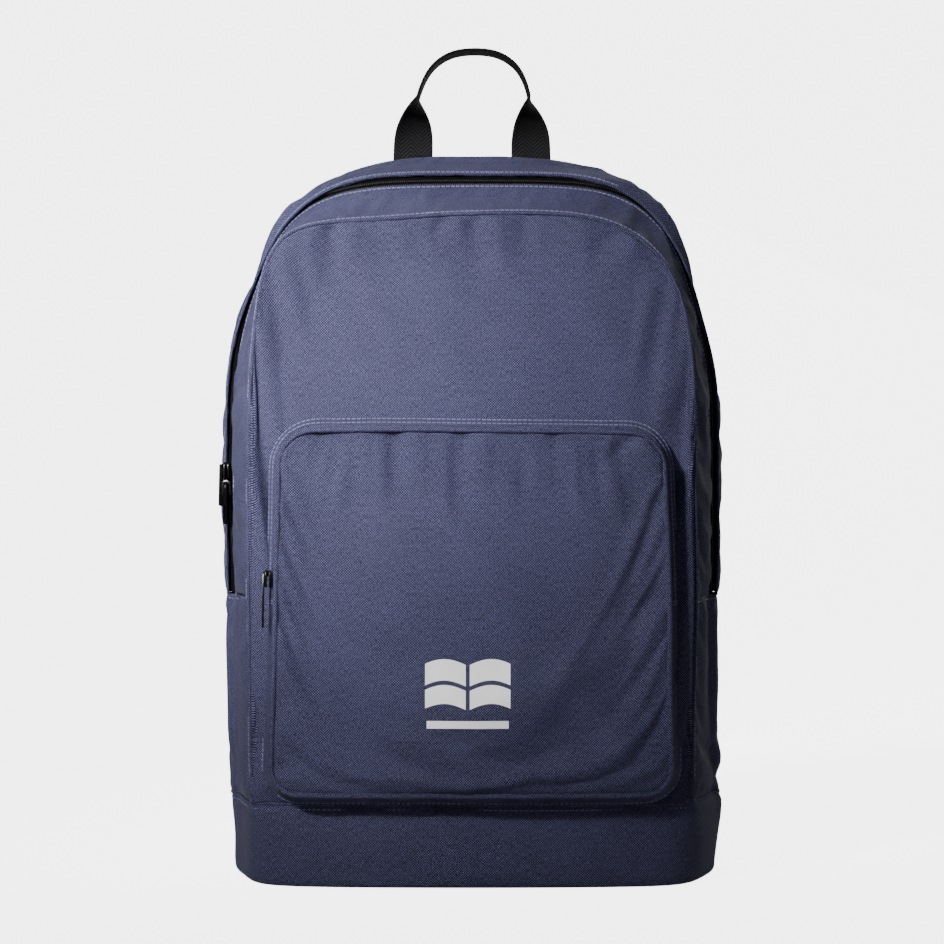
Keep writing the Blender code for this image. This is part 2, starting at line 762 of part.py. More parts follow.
def strap_route():
    """Right strap's middle line from the yoke to its buckle."""
    back = BACK_Y + GAP + BACK_PANEL_THICKNESS
    return [Vector((x, back + out, YOKE_HEIGHT - below)) for x, out, below in STRAP_ROUTE]


def strap_widths(count):
    """Strap widths from the yoke down: a little narrower at the yoke, tapered to the buckle."""
    widths = []
    for index in range(count):
        share = index / (count - 1)
        end = max(share - STRAP_TAPER_START, 0.0) / (1.0 - STRAP_TAPER_START)
        top = max(1 - share / STRAP_TOP_SHARE, 0)
        widths.append(mix(STRAP_WIDTH, STRAP_END_WIDTH, end * end) - STRAP_TOP_NARROWING * top)
    return widths


def make_straps():
    back = BACK_Y + GAP + BACK_PANEL_THICKNESS
    yoke = [
        [Vector((YOKE_HALF_WIDTH * share, back + GAP + YOKE_THICKNESS, height)) for share in
         (-1.0, -0.5, 0.0, 0.5, 1.0)]
        for height in (YOKE_HEIGHT - YOKE_BELOW, YOKE_HEIGHT + YOKE_ABOVE)
    ]
    sheet("yoke_patch", yoke, YOKE_THICKNESS, black_webbing())
    for label, side in (("left", -1), ("right", 1)):
        flip = Vector((side, 1.0, 1.0))
        path = smooth_path([point * flip for point in strap_route()], 22)
        across = []
        for index in range(len(path)):
            before = path[max(index - 1, 0)]
            after = path[min(index + 1, len(path) - 1)]
            run = (after - before).normalized()
            across.append(run.cross(Vector((1.0, 0.0, 0.0)).cross(run)).normalized())
        widths = strap_widths(len(path))
        ribbon(f"shoulder_strap_{label}", path, across, widths, STRAP_THICKNESS, indigo_cloth(), 5)
        make_buckle(label, side, path[-1], (path[-1] - path[-2]).normalized(), across[-1])


def make_buckle(label, side, strap_end, run, across):
    """Ladder-lock buckle, the webbing loop that holds it and the webbing to the corner tab."""
    normal = across.cross(run).normalized()
    if normal.y < 0.0:
        normal = -normal
    top_bar = strap_end + run * BUCKLE_DROP
    loop_start = strap_end + run * 4 * GAP
    bend = around_bar(top_bar, normal, run, LOOP_THICKNESS)
    side_step = bend[0] - top_bar
    path = smooth_path([loop_start + side_step, *bend, loop_start - side_step], 20)
    widths = [WEBBING_WIDTH] * 20
    ribbon(f"buckle_loop_{label}", path, [across] * 20, widths, LOOP_THICKNESS, black_webbing())
    make_ladder_lock(label, frame_at(top_bar, across, run))
    low_bar = top_bar + run * 2 * (BUCKLE_BAR + BUCKLE_SLOT)
    bend = around_bar(low_bar, normal, -run, WEBBING_THICKNESS)
    anchor = strap_anchor(side)
    tail_end = bend[-1] + Vector((0.0, 0.0, -TAIL_LENGTH))
    route = [
        anchor,
        anchor.lerp(bend[0], 0.35),
        anchor.lerp(bend[0], 0.7),
        *bend,
        bend[-1] + run * 0.012 + normal * 0.0008,
        bend[-1].lerp(tail_end, 0.5) + normal * 0.002,
        tail_end,
    ]
    path = smooth_path(route, 90)
    widths = [WEBBING_WIDTH] * 90
    ribbon(f"strap_webbing_{label}", path, [across] * 90, widths, WEBBING_THICKNESS, black_webbing())
    tab_y = BACK_Y + GAP + BACK_PANEL_THICKNESS + GAP + TAB_THICKNESS
    edge = half_width(0.0, anchor.z) - 2 * GAP
    inner = abs(anchor.x) - TAB_REACH
    rows = []
    for x, margin in ((inner, TAB_INNER_MARGIN), (edge, TAB_OUTER_MARGIN)):
        half = WEBBING_WIDTH / 2 + margin
        rows.append([Vector((side * x, tab_y, anchor.z + half * up)) for up in (-1.0, 0.0, 1.0)])
    sheet(f"strap_tab_{label}", rows, TAB_THICKNESS, indigo_cloth())


def around_bar(bar, normal, run, thickness):
    """Half a turn round a buckle's bar, from its -normal side through run to its normal side."""
    radius = math.hypot(BUCKLE_BAR / 2, BUCKLE_THICKNESS / 2) + 2 * GAP + thickness / 2
    turns = [math.radians(180.0 * step / 6) for step in range(7)]
    return [bar + (run * math.sin(turn) - normal * math.cos(turn)) * radius for turn in turns]


def make_ladder_lock(label, turn):
    """A flat frame with three bars and two slots; its top bar lies on the frame's X axis."""
    data = bpy.data.curves.new(f"ladder_lock_{label}", "CURVE")
    data.dimensions = "2D"
    data.fill_mode = "BOTH"
    data.extrude = BUCKLE_THICKNESS / 2
    pitch = BUCKLE_BAR + BUCKLE_SLOT
    half = BUCKLE_WIDTH / 2
    slot = WEBBING_WIDTH / 2 + 0.001
    low = -BUCKLE_BAR / 2
    rings = [(half, low, 2 * pitch + BUCKLE_BAR / 2)]
    for index in range(2):
        start = BUCKLE_BAR / 2 + index * pitch
        rings.append((slot, start, start + BUCKLE_SLOT))
    for reach, bottom, top in rings:
        spline = data.splines.new("POLY")
        spline.points.add(3)
        corners = ((-reach, bottom), (reach, bottom), (reach, top), (-reach, top))
        for target, (x, y) in zip(spline.points, corners):
            target.co = (x, y, 0.0, 1.0)
        spline.use_cyclic_u = True
    lock = place(f"ladder_lock_{label}", data, black_plastic())
    lock.matrix_world = turn


def strap_anchor(side):
    """Where a strap's webbing is sewn to its corner tab."""
    clear = BACK_Y + 3 * GAP + BACK_PANEL_THICKNESS + TAB_THICKNESS + WEBBING_THICKNESS / 2
    return Vector((side * ANCHOR_X, clear + ANCHOR_STAND, ANCHOR_HEIGHT))


def frame_at(at, across, run):
    """A turn that lays X along across and Y along run, at a place."""
    normal = across.cross(run)
    turn = Matrix((across, run, normal)).transposed().to_4x4()
    turn.translation = at
    return turn


for old in list(bpy.data.objects):
    bpy.data.objects.remove(old)
parts = bpy.data.collections.new("school_backpack")
bpy.context.scene.collection.children.link(parts)

make_back()
make_bands()
make_front()
make_main_zip()
make_base()
make_pocket()
make_sliders()
make_handle()
make_straps()
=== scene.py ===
import json
import math

import bmesh
import bpy
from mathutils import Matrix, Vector, noise


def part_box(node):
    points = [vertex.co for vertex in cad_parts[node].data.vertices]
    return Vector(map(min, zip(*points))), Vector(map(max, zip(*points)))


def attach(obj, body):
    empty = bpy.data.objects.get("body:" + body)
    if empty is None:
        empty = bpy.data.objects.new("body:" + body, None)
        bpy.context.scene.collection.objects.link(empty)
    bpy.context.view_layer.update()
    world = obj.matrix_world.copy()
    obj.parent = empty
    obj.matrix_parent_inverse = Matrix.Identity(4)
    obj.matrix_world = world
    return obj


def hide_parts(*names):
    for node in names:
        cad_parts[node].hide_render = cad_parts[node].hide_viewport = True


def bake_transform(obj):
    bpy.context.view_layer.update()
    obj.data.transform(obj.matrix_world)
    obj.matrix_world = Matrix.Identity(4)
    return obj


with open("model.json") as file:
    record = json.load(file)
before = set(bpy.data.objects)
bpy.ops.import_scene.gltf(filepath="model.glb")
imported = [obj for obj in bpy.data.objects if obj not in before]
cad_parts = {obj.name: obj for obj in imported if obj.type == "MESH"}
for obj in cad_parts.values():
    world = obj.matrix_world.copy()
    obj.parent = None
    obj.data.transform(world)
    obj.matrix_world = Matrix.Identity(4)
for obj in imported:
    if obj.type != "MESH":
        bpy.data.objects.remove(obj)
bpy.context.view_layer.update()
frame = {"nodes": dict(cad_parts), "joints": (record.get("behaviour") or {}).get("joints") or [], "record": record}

scene = bpy.context.scene

# camera at the height of the middle of the bag, level, as in a catalogue picture
view = {"height": 0.235, "distance": 1.9, "frameWidth": 0.5806, "sensor": 36.0, "rise": 0.022}
cameraData = bpy.data.cameras.new("camera")
cameraData.sensor_width = view["sensor"]
cameraData.lens = view["sensor"] * view["distance"] / view["frameWidth"]
cameraData.shift_y = view["rise"]
camera = bpy.data.objects.new("camera", cameraData)
camera.location = (0.0, -view["distance"], view["height"])
camera.rotation_euler = (math.pi / 2, 0.0, 0.0)
scene.collection.objects.link(camera)
scene.camera = camera
print("camera ready")


# ---- arithmetic on shader sockets ----
class Wire:
    def __init__(self, graph, socket):
        self.graph = graph
        self.socket = socket

    def combine(self, operation, first, second):
        return self.graph.node("ShaderNodeMath", {"operation": operation}, {0: first, 1: second})

    def __add__(self, other):
        return self.combine("ADD", self, other)

    def __radd__(self, other):
        return self.combine("ADD", other, self)

    def __sub__(self, other):
        return self.combine("SUBTRACT", self, other)

    def __rsub__(self, other):
        return self.combine("SUBTRACT", other, self)

    def __mul__(self, other):
        return self.combine("MULTIPLY", self, other)

    def __rmul__(self, other):
        return self.combine("MULTIPLY", other, self)

    def __truediv__(self, other):
        return self.combine("DIVIDE", self, other)

    def __pow__(self, other):
        return self.combine("POWER", self, other)

    def apply(self, operation, second=0.0):
        return self.combine(operation, self, second)


class Graph:
    def __init__(self, tree):
        self.tree = tree

    def node(self, kind, settings=None, inputs=None, output=0):
        # settings first, then values or wires on its sockets
        made = self.tree.nodes.new(kind)
        for key, value in (settings or {}).items():
            if key == "stops":
                ramp = made.color_ramp
                ramp.elements[0].position, ramp.elements[0].color = value[0]
                ramp.elements[1].position, ramp.elements[1].color = value[-1]
                for position, color in value[1:-1]:
                    ramp.elements.new(position).color = color
            else:
                setattr(made, key, value)
        for key, value in (inputs or {}).items():
            if isinstance(value, Wire):
                self.tree.links.new(value.socket, made.inputs[key])
            else:
                made.inputs[key].default_value = value
        return Wire(self, made.outputs[output])

    def mixColor(self, factor, first, second):
        settings = {"data_type": "RGBA", "blend_type": "MIX"}
        return self.node("ShaderNodeMix", settings, {0: factor, 6: first, 7: second}, 2)

    def noise(self, vector, scale, detail=2.0, roughness=0.5):
        values = {"Vector": vector, "Scale": scale, "Detail": detail, "Roughness": roughness}
        return self.node("ShaderNodeTexNoise", None, values)

    def scaled(self, vector, amounts):
        return self.node("ShaderNodeVectorMath", {"operation": "MULTIPLY"}, {0: vector, 1: amounts})

    def parts(self, vector):
        split = self.node("ShaderNodeSeparateXYZ", None, {0: vector}).socket.node
        return [Wire(self, split.outputs[index]) for index in range(3)]


def newFinish(name, constants):
    # a material with its constant values set, its graph and its shader
    made = bpy.data.materials.new(name)
    made.use_nodes = True
    shader = made.node_tree.nodes["Principled BSDF"]
    for key, value in constants.items():
        shader.inputs[key].default_value = value
    return made, Graph(made.node_tree), shader


def feed(graph, shader, key, wire):
    graph.tree.links.new(wire.socket, shader.inputs[key])


def rgb(red, green, blue):
    # screen colour, 0 to 255, as the linear colour that shaders use
    def linear(value):
        share = value / 255.0
        return share / 12.92 if share <= 0.04045 else ((share + 0.055) / 1.055) ** 2.4

    return (linear(red), linear(green), linear(blue), 1.0)


cloth = {
    "pitch": 0.00105,  # one yarn and the next
    "dark": rgb(7, 7, 24),
    "mid": rgb(30, 30, 56),
    "light": rgb(92, 92, 126),
    "rough": 0.8,
}


def wovenCloth(name, values, bumpStrength=0.55):
    finish, graph, shader = newFinish(
        name,
        {"Sheen Weight": 0.03, "Sheen Roughness": 0.4, "Specular IOR Level": 0.22},
    )
    place = graph.node("ShaderNodeUVMap", {"uv_map": "cloth"})
    solid = graph.node("ShaderNodeTexCoord", None, None, 3)
    wander = graph.noise(place, 70.0, 1.0)
    u, v, _ = graph.parts(place)
    # yarns that cross on the bias, each shown as a row of small raised floats
    across = (u + v) * 0.7071 / values["pitch"] + wander * 0.6
    along = (v - u) * 0.7071 / values["pitch"] + wander * 0.5
    warp = (across * math.pi).apply("SINE").apply("ABSOLUTE")
    weft = (along * math.pi).apply("SINE").apply("ABSOLUTE")
    yarn = (warp * weft) ** 0.7
    slub = graph.noise(graph.scaled(place, (1900.0, 420.0, 1.0)), 1.0, 2.0)
    patch = graph.noise(solid, 22.0, 4.0, 0.6)
    speck = graph.noise(place, 1500.0, 1.0)
    level = yarn * 1.0 + slub * 0.9 + speck * 1.0 + (patch - 0.5) * 0.2 - 0.95
    stops = [(0.12, values["dark"]), (0.5, values["mid"]), (0.92, values["light"])]
    color = graph.node("ShaderNodeValToRGB", {"stops": stops}, {0: level})
    feed(graph, shader, "Base Color", color)
    rough = values["rough"] + (patch - 0.5) * 0.16 - yarn * 0.08
    feed(graph, shader, "Roughness", rough)
    height = yarn + slub * 0.5
    bump = {"Strength": bumpStrength, "Distance": 0.00022, "Height": height}
    feed(graph, shader, "Normal", graph.node("ShaderNodeBump", None, bump))
    return finish


def herringbone(name, dark, light, pitch):
    # webbing: diagonal ribs that turn back along the middle lines of the tape
    finish, graph, shader = newFinish(name, {"Specular IOR Level": 0.1})
    place = graph.node("ShaderNodeUVMap", {"uv_map": "cloth"})
    u, v, _ = graph.parts(place)
    chevron = (u / (pitch * 5.0)).apply("FRACT") - 0.5
    lean = chevron.apply("ABSOLUTE") * 5.0
    rib = ((v / pitch + lean) * (2.0 * math.pi)).apply("SINE") * 0.5 + 0.5
    column = ((u / (pitch * 0.5)) * (2.0 * math.pi)).apply("SINE") * 0.5 + 0.5
    fuzz = graph.noise(place, 1400.0, 2.0)
    level = rib * rib * rib * 0.75 + fuzz * 0.25
    color = graph.mixColor(level, dark, light)
    feed(graph, shader, "Base Color", color)
    feed(graph, shader, "Roughness", 0.62 + fuzz * 0.2)
    bump = {"Strength": 0.8, "Distance": 0.0003, "Height": rib + column * 0.4 + fuzz * 0.3}
    feed(graph, shader, "Normal", graph.node("ShaderNodeBump", None, bump))
    return finish


def moulded(name, color, worn, roughness, metallic=0.0, grain=700.0):
    finish, graph, shader = newFinish(name, {"Specular IOR Level": 0.5, "Metallic": metallic})
    solid = graph.node("ShaderNodeTexCoord", None, None, 3)
    fine = graph.noise(solid, grain, 3.0)
    broad = graph.noise(solid, 60.0, 3.0)
    feed(graph, shader, "Base Color", graph.mixColor(broad * fine, color, worn))
    feed(graph, shader, "Roughness", roughness + (broad - 0.5) * 0.2 + fine * 0.06)
    bump = {"Strength": 0.12, "Distance": 0.0002, "Height": fine}
    feed(graph, shader, "Normal", graph.node("ShaderNodeBump", None, bump))
    return finish


def meshCloth(name, color, holeShade, pitch):
    # spacer mesh: rows of small holes, every other row shifted by half, with painted shade in the holes
    finish, graph, shader = newFinish(name, {"Specular IOR Level": 0.2})
    place = graph.node("ShaderNodeUVMap", {"uv_map": "cloth"})
    u, v, _ = graph.parts(place)
    row = v / (pitch * 0.8)
    shift = (row.apply("FLOOR") * 0.5).apply("FRACT")
    inRow = row.apply("FRACT") - 0.5
    inColumn = (u / pitch + shift).apply("FRACT") - 0.5
    far = (inRow * inRow + inColumn * inColumn).apply("SQRT")
    pit = 1.0 - ((far - 0.16) * 6.0).apply("MAXIMUM").apply("MINIMUM", 1.0)
    fuzz = graph.noise(place, 1100.0, 2.0)
    # the pits take a near-black painted shade colour, darker than the yarn around them
    feed(graph, shader, "Base Color", graph.mixColor(pit * 0.85 + fuzz * 0.15, color, holeShade))
    feed(graph, shader, "Roughness", 0.7 + fuzz * 0.2)
    bump = {"Strength": 0.9, "Distance": 0.0006, "Height": 1.0 - pit}
    feed(graph, shader, "Normal", graph.node("ShaderNodeBump", None, bump))
    return finish


indigo = wovenCloth("indigoCloth", cloth)
lining = wovenCloth(
    "liningCloth",
    {"pitch": 0.0006, "dark": rgb(10, 10, 26), "mid": rgb(26, 26, 44), "light": rgb(52, 53, 78), "rough": 0.6},
    0.3,
)
webbing = herringbone("blackWebbing", rgb(0, 0, 0), rgb(40, 40, 42), 0.0026)
zipTape = herringbone("zipTape", rgb(1, 1, 1), rgb(7, 7, 8), 0.0009)
thread = moulded("indigoThread", rgb(92, 94, 130), rgb(134, 136, 172), 0.6)
blackThread = moulded("blackThread", rgb(10, 10, 11), rgb(30, 30, 32), 0.6)
enamel = moulded("blackEnamel", rgb(4, 4, 5), rgb(16, 16, 17), 0.2, 0.3)
nylon = moulded("blackNylon", rgb(8, 8, 9), rgb(22, 22, 23), 0.42)
coil = moulded("zipCoil", rgb(3, 3, 4), rgb(10, 10, 11), 0.35)
foam = moulded("greyFoam", rgb(120, 120, 124), rgb(150, 150, 154), 0.9, 0.0, 900.0)
# the second colour is painted shade inside the mesh's holes
spacer = meshCloth("spacerMesh", rgb(15, 15, 18), rgb(1, 1, 2), 0.0034)
printInk = moulded("whitePrint", rgb(238, 238, 240), rgb(222, 222, 226), 0.55)
print("finishes ready")

# ---- the bag's outline, as the frame has it ----
bag = {
    "height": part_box("back_panel")[1].z,
    "backHalf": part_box("back_panel")[1].x,
    "backY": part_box("back_panel")[0].y - 0.0003,
    "frontTop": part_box("front_piping_upper")[1].z - 0.0016,
    "frontHalf": 0.134,
    "frontLowY": -0.056,
    "frontTopY": -0.036,
    "crown": 0.012,
    "sideBulge": 0.008,
    "topBulge": 0.003,
    "shoulder": 0.48,
    "backPower": 3.0,
    "frontPower": 4.7,
    "baseTaper": 0.05,
    "zipDepth": 0.50,
    "zipSlot": 0.0076,
    "zipStep": 0.0050,
    "zipEnd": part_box("rear_band")[0].z,
    "seamHeight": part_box("side_panel_left")[0].z,
    "flapHeight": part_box("front_panel_lower")[1].z,
    "fabric": 0.0014,
    "core": Vector((0.0, 0.0, 0.2)),
}
bag["run"] = bag["backY"] - bag["frontLowY"]


def mix(low, high, share):
    return low + (high - low) * share


def hump(share):
    return 4.0 * share * (1.0 - share)


def ease(share):
    share = min(max(share, 0.0), 1.0)
    return share * share * (3.0 - 2.0 * share)


def rim(depth):
    start = bag["zipDepth"] - bag["zipSlot"] / 2 / bag["run"]
    past = min(max((depth - start) / (2.0 * (bag["zipDepth"] - start)), 0.0), 1.0)
    fading = hump(depth) * bag["zipStep"] * (0.5 - past)
    half = mix(bag["backHalf"], bag["frontHalf"], depth) + bag["sideBulge"] * hump(depth) + fading
    top = mix(bag["height"], bag["frontTop"], depth) + bag["topBulge"] * hump(depth) + fading
    return half, top, mix(bag["backPower"], bag["frontPower"], depth)


def halfWidth(depth, height, inset=0.0):
    half, top, power = rim(depth)
    half -= inset
    top -= inset
    shoulder = bag["shoulder"] * top
    if height <= shoulder:
        return half * (1.0 - bag["baseTaper"] * (1.0 - height / shoulder) ** 2)
    rise = min((height - shoulder) / (top - shoulder), 1.0)
    return half * (1.0 - rise**power) ** (1.0 / power)


def archTop(depth, across, inset=0.0):
    _, top, power = rim(depth)
    top -= inset
    shoulder = bag["shoulder"] * top
    return shoulder + (top - shoulder) * (1.0 - min(abs(across), 1.0) ** power) ** (1.0 / power)


def seamY(height):
    share = min(height / bag["frontTop"], 1.0)
    return mix(bag["frontLowY"], bag["frontTopY"], share * share)


def frontY(x, height):
    across = min(abs(x) / bag["frontHalf"], 1.0)
    up = min(max(height / bag["frontTop"], 0.0), 1.0)
    return seamY(height) - bag["crown"] * (1.0 - across**2.6) * (1.0 - up**6)


def rimPoint(x, depth, height):
    return Vector((x, mix(bag["backY"], seamY(height), depth), height))


def evenly(points, count):
    lengths = [0.0]
    for first, second in zip(points, points[1:]):
        lengths.append(lengths[-1] + (second - first).length)
    spaced = []
    index = 0
    for step in range(count):
        along = lengths[-1] * step / (count - 1)
        while index < len(points) - 2 and lengths[index + 1] < along:
            index += 1
        share = (along - lengths[index]) / max(lengths[index + 1] - lengths[index], 1e-9)
        spaced.append(points[index].lerp(points[index + 1], share))
    return spaced


def archPath(depth, low, count, inset=0.0):
    # up the right side from a height, over the top and down the left side
    fine = 200
    half = rim(depth)[0]
    high = archTop(depth, 0.9)
    right = []
    for step in range(fine):
        height = mix(low, high, step / fine)
        right.append(Vector((halfWidth(depth, height, inset), 0.0, height)))
    cross = right[-1].x / (half - inset)
    for step in range(1, fine + 1):
        across = cross * (1.0 - step / fine)
        right.append(Vector((across * (half - inset), 0.0, archTop(depth, across, inset))))
    side = evenly(right, count)
    whole = side + [Vector((-point.x, 0.0, point.z)) for point in reversed(side[:-1])]
    return [rimPoint(point.x, depth, point.z) for point in whole]


def sidePath(depth, low, high, count, side, inset=0.0):
    heights = [mix(low, high, step / (count - 1)) for step in range(count)]
    return [rimPoint(side * halfWidth(depth, height, inset), depth, height) for height in heights]


def steps(first, last, count):
    return [mix(first, last, step / (count - 1)) for step in range(count)]


# ---- making pieces ----
def newPiece(name, mesh, finish):
    data = bpy.data.meshes.new(name)
    mesh.to_mesh(data)
    mesh.free()
    data.materials.append(finish)
    data.shade_smooth()
    made = bpy.data.objects.new(name, data)
    scene.collection.objects.link(made)
    return made


def settled(piece):
    # the evaluated mesh, as a plain mesh without modifiers
    bpy.context.view_layer.update()
    evaluated = piece.evaluated_get(bpy.context.evaluated_depsgraph_get())
    data = bpy.data.meshes.new_from_object(evaluated)
    piece.modifiers.clear()
    old = piece.data
    piece.data = data
    data.name = old.name
    bpy.data.meshes.remove(old)
    return piece


def gridPiece(name, rows, finish, closed=False, core=None, flat=False):
    # quads through rows of points, with a cloth map in metres
    mesh = bmesh.new()
    layer = mesh.loops.layers.uv.new("cloth")
    grid = [[mesh.verts.new(point) for point in row] for row in rows]
    middle = rows[len(rows) // 2]
    us = [0.0]
    for first, second in zip(middle, middle[1:] + middle[:1]):
        us.append(us[-1] + (second - first).length)
    vs = [0.0]
    column = len(middle) // 2
    for lower, upper in zip(rows, rows[1:]):
        vs.append(vs[-1] + (upper[column] - lower[column]).length)
    last = len(middle) if closed else len(middle) - 1
    for r in range(len(rows) - 1):
        for c in range(last):
            d = (c + 1) % len(middle)
            face = mesh.faces.new((grid[r][c], grid[r][d], grid[r + 1][d], grid[r + 1][c]))
            corners = ((c, r), (c + 1, r), (c + 1, r + 1), (c, r + 1))
            for loop, (i, j) in zip(face.loops, corners):
                loop[layer].uv = (loop.vert.co.x, loop.vert.co.z) if flat else (us[i], vs[j])
    mesh.normal_update()
    if core is not None:
        facing = sum((face.calc_center_median() - core).dot(face.normal) for face in mesh.faces)
        if facing < 0.0:
            bmesh.ops.reverse_faces(mesh, faces=mesh.faces[:])
    return newPiece(name, mesh, finish)


def thicken(piece, thickness, offset=-1.0, smooth=0):
    if smooth:
        sub = piece.modifiers.new("smooth", "SUBSURF")
        sub.levels = smooth
        sub.render_levels = smooth
        sub.boundary_smooth = "PRESERVE_CORNERS"
    solid = piece.modifiers.new("thickness", "SOLIDIFY")
    solid.thickness = thickness
    solid.offset = offset
    solid.use_rim = True
    return settled(piece)


def simulateCloth(piece, edgePins, fullness, pressure, cap, frames=18, stiffness=12.0, bend=0.6):
    # the panel is cut a little fuller than its seams, so it puckers where they hold it
    rest = [vertex.co.copy() for vertex in piece.data.vertices]
    trial = bpy.data.objects.new(piece.name + "Trial", piece.data.copy())
    scene.collection.objects.link(trial)
    pins = trial.vertex_groups.new(name="pins")
    for index in edgePins:
        pins.add([index], 1.0, "REPLACE")
    for vertex in trial.data.vertices:
        jitter = noise.noise(vertex.co * 60.0) * 0.0004
        vertex.co += vertex.normal * jitter
    cloth = trial.modifiers.new("cloth", "CLOTH")
    values = cloth.settings
    values.quality = 6
    values.mass = 0.25
    values.tension_stiffness = stiffness
    values.compression_stiffness = stiffness
    values.shear_stiffness = stiffness * 0.6
    values.bending_stiffness = bend
    values.vertex_group_mass = "pins"
    values.shrink_min = -fullness
    values.use_pressure = pressure != 0.0
    values.uniform_pressure_force = pressure
    values.effector_weights.gravity = 0.15
    cloth.collision_settings.use_collision = False
    cloth.point_cache.frame_start = 1
    cloth.point_cache.frame_end = frames
    for step in range(1, frames + 1):
        scene.frame_set(step)
    evaluated = trial.evaluated_get(bpy.context.evaluated_depsgraph_get())
    moved = [vertex.co.copy() for vertex in evaluated.data.vertices]
    for vertex, before, after in zip(piece.data.vertices, rest, moved):
        shift = after - before
        if shift.length > cap:
            shift *= cap / shift.length
        vertex.co = before + shift
    scene.frame_set(1)
    bpy.data.objects.remove(trial)
    print("simulated", piece.name)


def gridEdges(rowCount, columnCount, rings=1):
    # vertex numbers of a grid's outer rings
    found = []
    for r in range(rowCount):
        for c in range(columnCount):
            if min(r, rowCount - 1 - r, c, columnCount - 1 - c) < rings:
                found.append(r * columnCount + c)
    return found


def tubePiece(name, points, radius, finish, sides=10, cyclic=False):
    # round cord along a path, with a cloth map in metres
    rings = []
    count = len(points)
    up = Vector((0.0, 0.0, 1.0))
    for index, point in enumerate(points):
        before = points[index - 1] if index or cyclic else points[0]
        after = points[(index + 1) % count] if index < count - 1 or cyclic else points[-1]
        run = (after - before).normalized()
        side = run.cross(up)
        if side.length < 0.05:
            side = run.cross(Vector((0.0, 1.0, 0.0)))
        side.normalize()
        if rings and side.dot(lastSide) < 0.0:
            side = -side
        lastSide = side
        rise = side.cross(run).normalized()
        turns = [2.0 * math.pi * step / sides for step in range(sides)]
        rings.append([point + side * radius * math.cos(t) + rise * radius * math.sin(t) for t in turns])
    if cyclic:
        rings.append(rings[0])
    piece = gridPiece(name, rings, finish, closed=True)
    mesh = bmesh.new()
    mesh.from_mesh(piece.data)
    if cyclic:
        bmesh.ops.remove_doubles(mesh, verts=mesh.verts[:], dist=1e-6)
    else:
        bmesh.ops.holes_fill(mesh, edges=[edge for edge in mesh.edges if edge.is_boundary], sides=0)
    bmesh.ops.recalc_face_normals(mesh, faces=mesh.faces[:])
    mesh.to_mesh(piece.data)
    mesh.free()
    return piece


def ride(piece, body, slot, *nodes):
    if body == "bag" and slot in ("pack_cloth", "zip_tape"):
        slump(piece)
    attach(piece, body)
    if nodes:
        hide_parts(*nodes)
    return piece


def bendWithFlap(piece, slot, *nodes):
    slump(piece)
    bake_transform(piece)
    if nodes:
        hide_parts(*nodes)
    return piece


# ---- stitches and zip teeth by Geometry Nodes ----
def nodeTree(name, inputs):
    tree = bpy.data.node_groups.new(name, "GeometryNodeTree")
    tree.interface.new_socket("Geometry", in_out="INPUT", socket_type="NodeSocketGeometry")
    for label, value in inputs.items():
        made = tree.interface.new_socket(label, in_out="INPUT", socket_type="NodeSocketFloat")
        made.default_value = value
    tree.interface.new_socket("Finish", in_out="INPUT", socket_type="NodeSocketMaterial")
    tree.interface.new_socket("Geometry", in_out="OUTPUT", socket_type="NodeSocketGeometry")
    return tree


def repeatTree(name, inputs, sides):
    # short rods along a path: stitches lie along it, teeth lie across it
    tree = nodeTree(name, inputs)
    nodes, links = tree.nodes, tree.links
    entry = nodes.new("NodeGroupInput")
    exit = nodes.new("NodeGroupOutput")
    toCurve = nodes.new("GeometryNodeMeshToCurve")
    resample = nodes.new("GeometryNodeResampleCurve")
    resample.mode = "LENGTH"
    links.new(entry.outputs["Geometry"], toCurve.inputs[0])
    links.new(toCurve.outputs[0], resample.inputs["Curve"])
    links.new(entry.outputs["Pitch"], resample.inputs["Length"])
    rod = nodes.new("GeometryNodeMeshCylinder")
    rod.inputs["Vertices"].default_value = sides
    links.new(entry.outputs["Length"], rod.inputs["Depth"])
    links.new(entry.outputs["Radius"], rod.inputs["Radius"])
    tangent = nodes.new("GeometryNodeInputTangent")
    align = nodes.new("FunctionNodeAlignRotationToVector")
    align.axis = "Z"
    links.new(tangent.outputs[0], align.inputs["Vector"])
    lean = nodes.new("FunctionNodeRotateRotation")
    lean.rotation_space = "LOCAL"
    turn = nodes.new("FunctionNodeEulerToRotation")
    combine = nodes.new("ShaderNodeCombineXYZ")
    links.new(entry.outputs["Lean"], combine.inputs["X"])
    links.new(combine.outputs[0], turn.inputs[0])
    links.new(align.outputs[0], lean.inputs[0])
    links.new(turn.outputs[0], lean.inputs[1])
    place = nodes.new("GeometryNodeInstanceOnPoints")
    links.new(resample.outputs[0], place.inputs["Points"])
    links.new(rod.outputs["Mesh"], place.inputs["Instance"])
    links.new(lean.outputs[0], place.inputs["Rotation"])
    realize = nodes.new("GeometryNodeRealizeInstances")
    links.new(place.outputs[0], realize.inputs[0])
    finish = nodes.new("GeometryNodeSetMaterial")
    links.new(realize.outputs[0], finish.inputs["Geometry"])
    links.new(entry.outputs["Finish"], finish.inputs["Material"])
    links.new(finish.outputs[0], exit.inputs[0])
    return tree


stitch = {"Pitch": 0.0030, "Length": 0.0021, "Radius": 0.00038, "Lean": 0.12}
stitchTree = repeatTree("stitches", stitch, 5)
tooth = {"Pitch": 0.0013, "Length": 0.0042, "Radius": 0.00042, "Lean": math.pi / 2}
toothTree = repeatTree("teeth", tooth, 5)


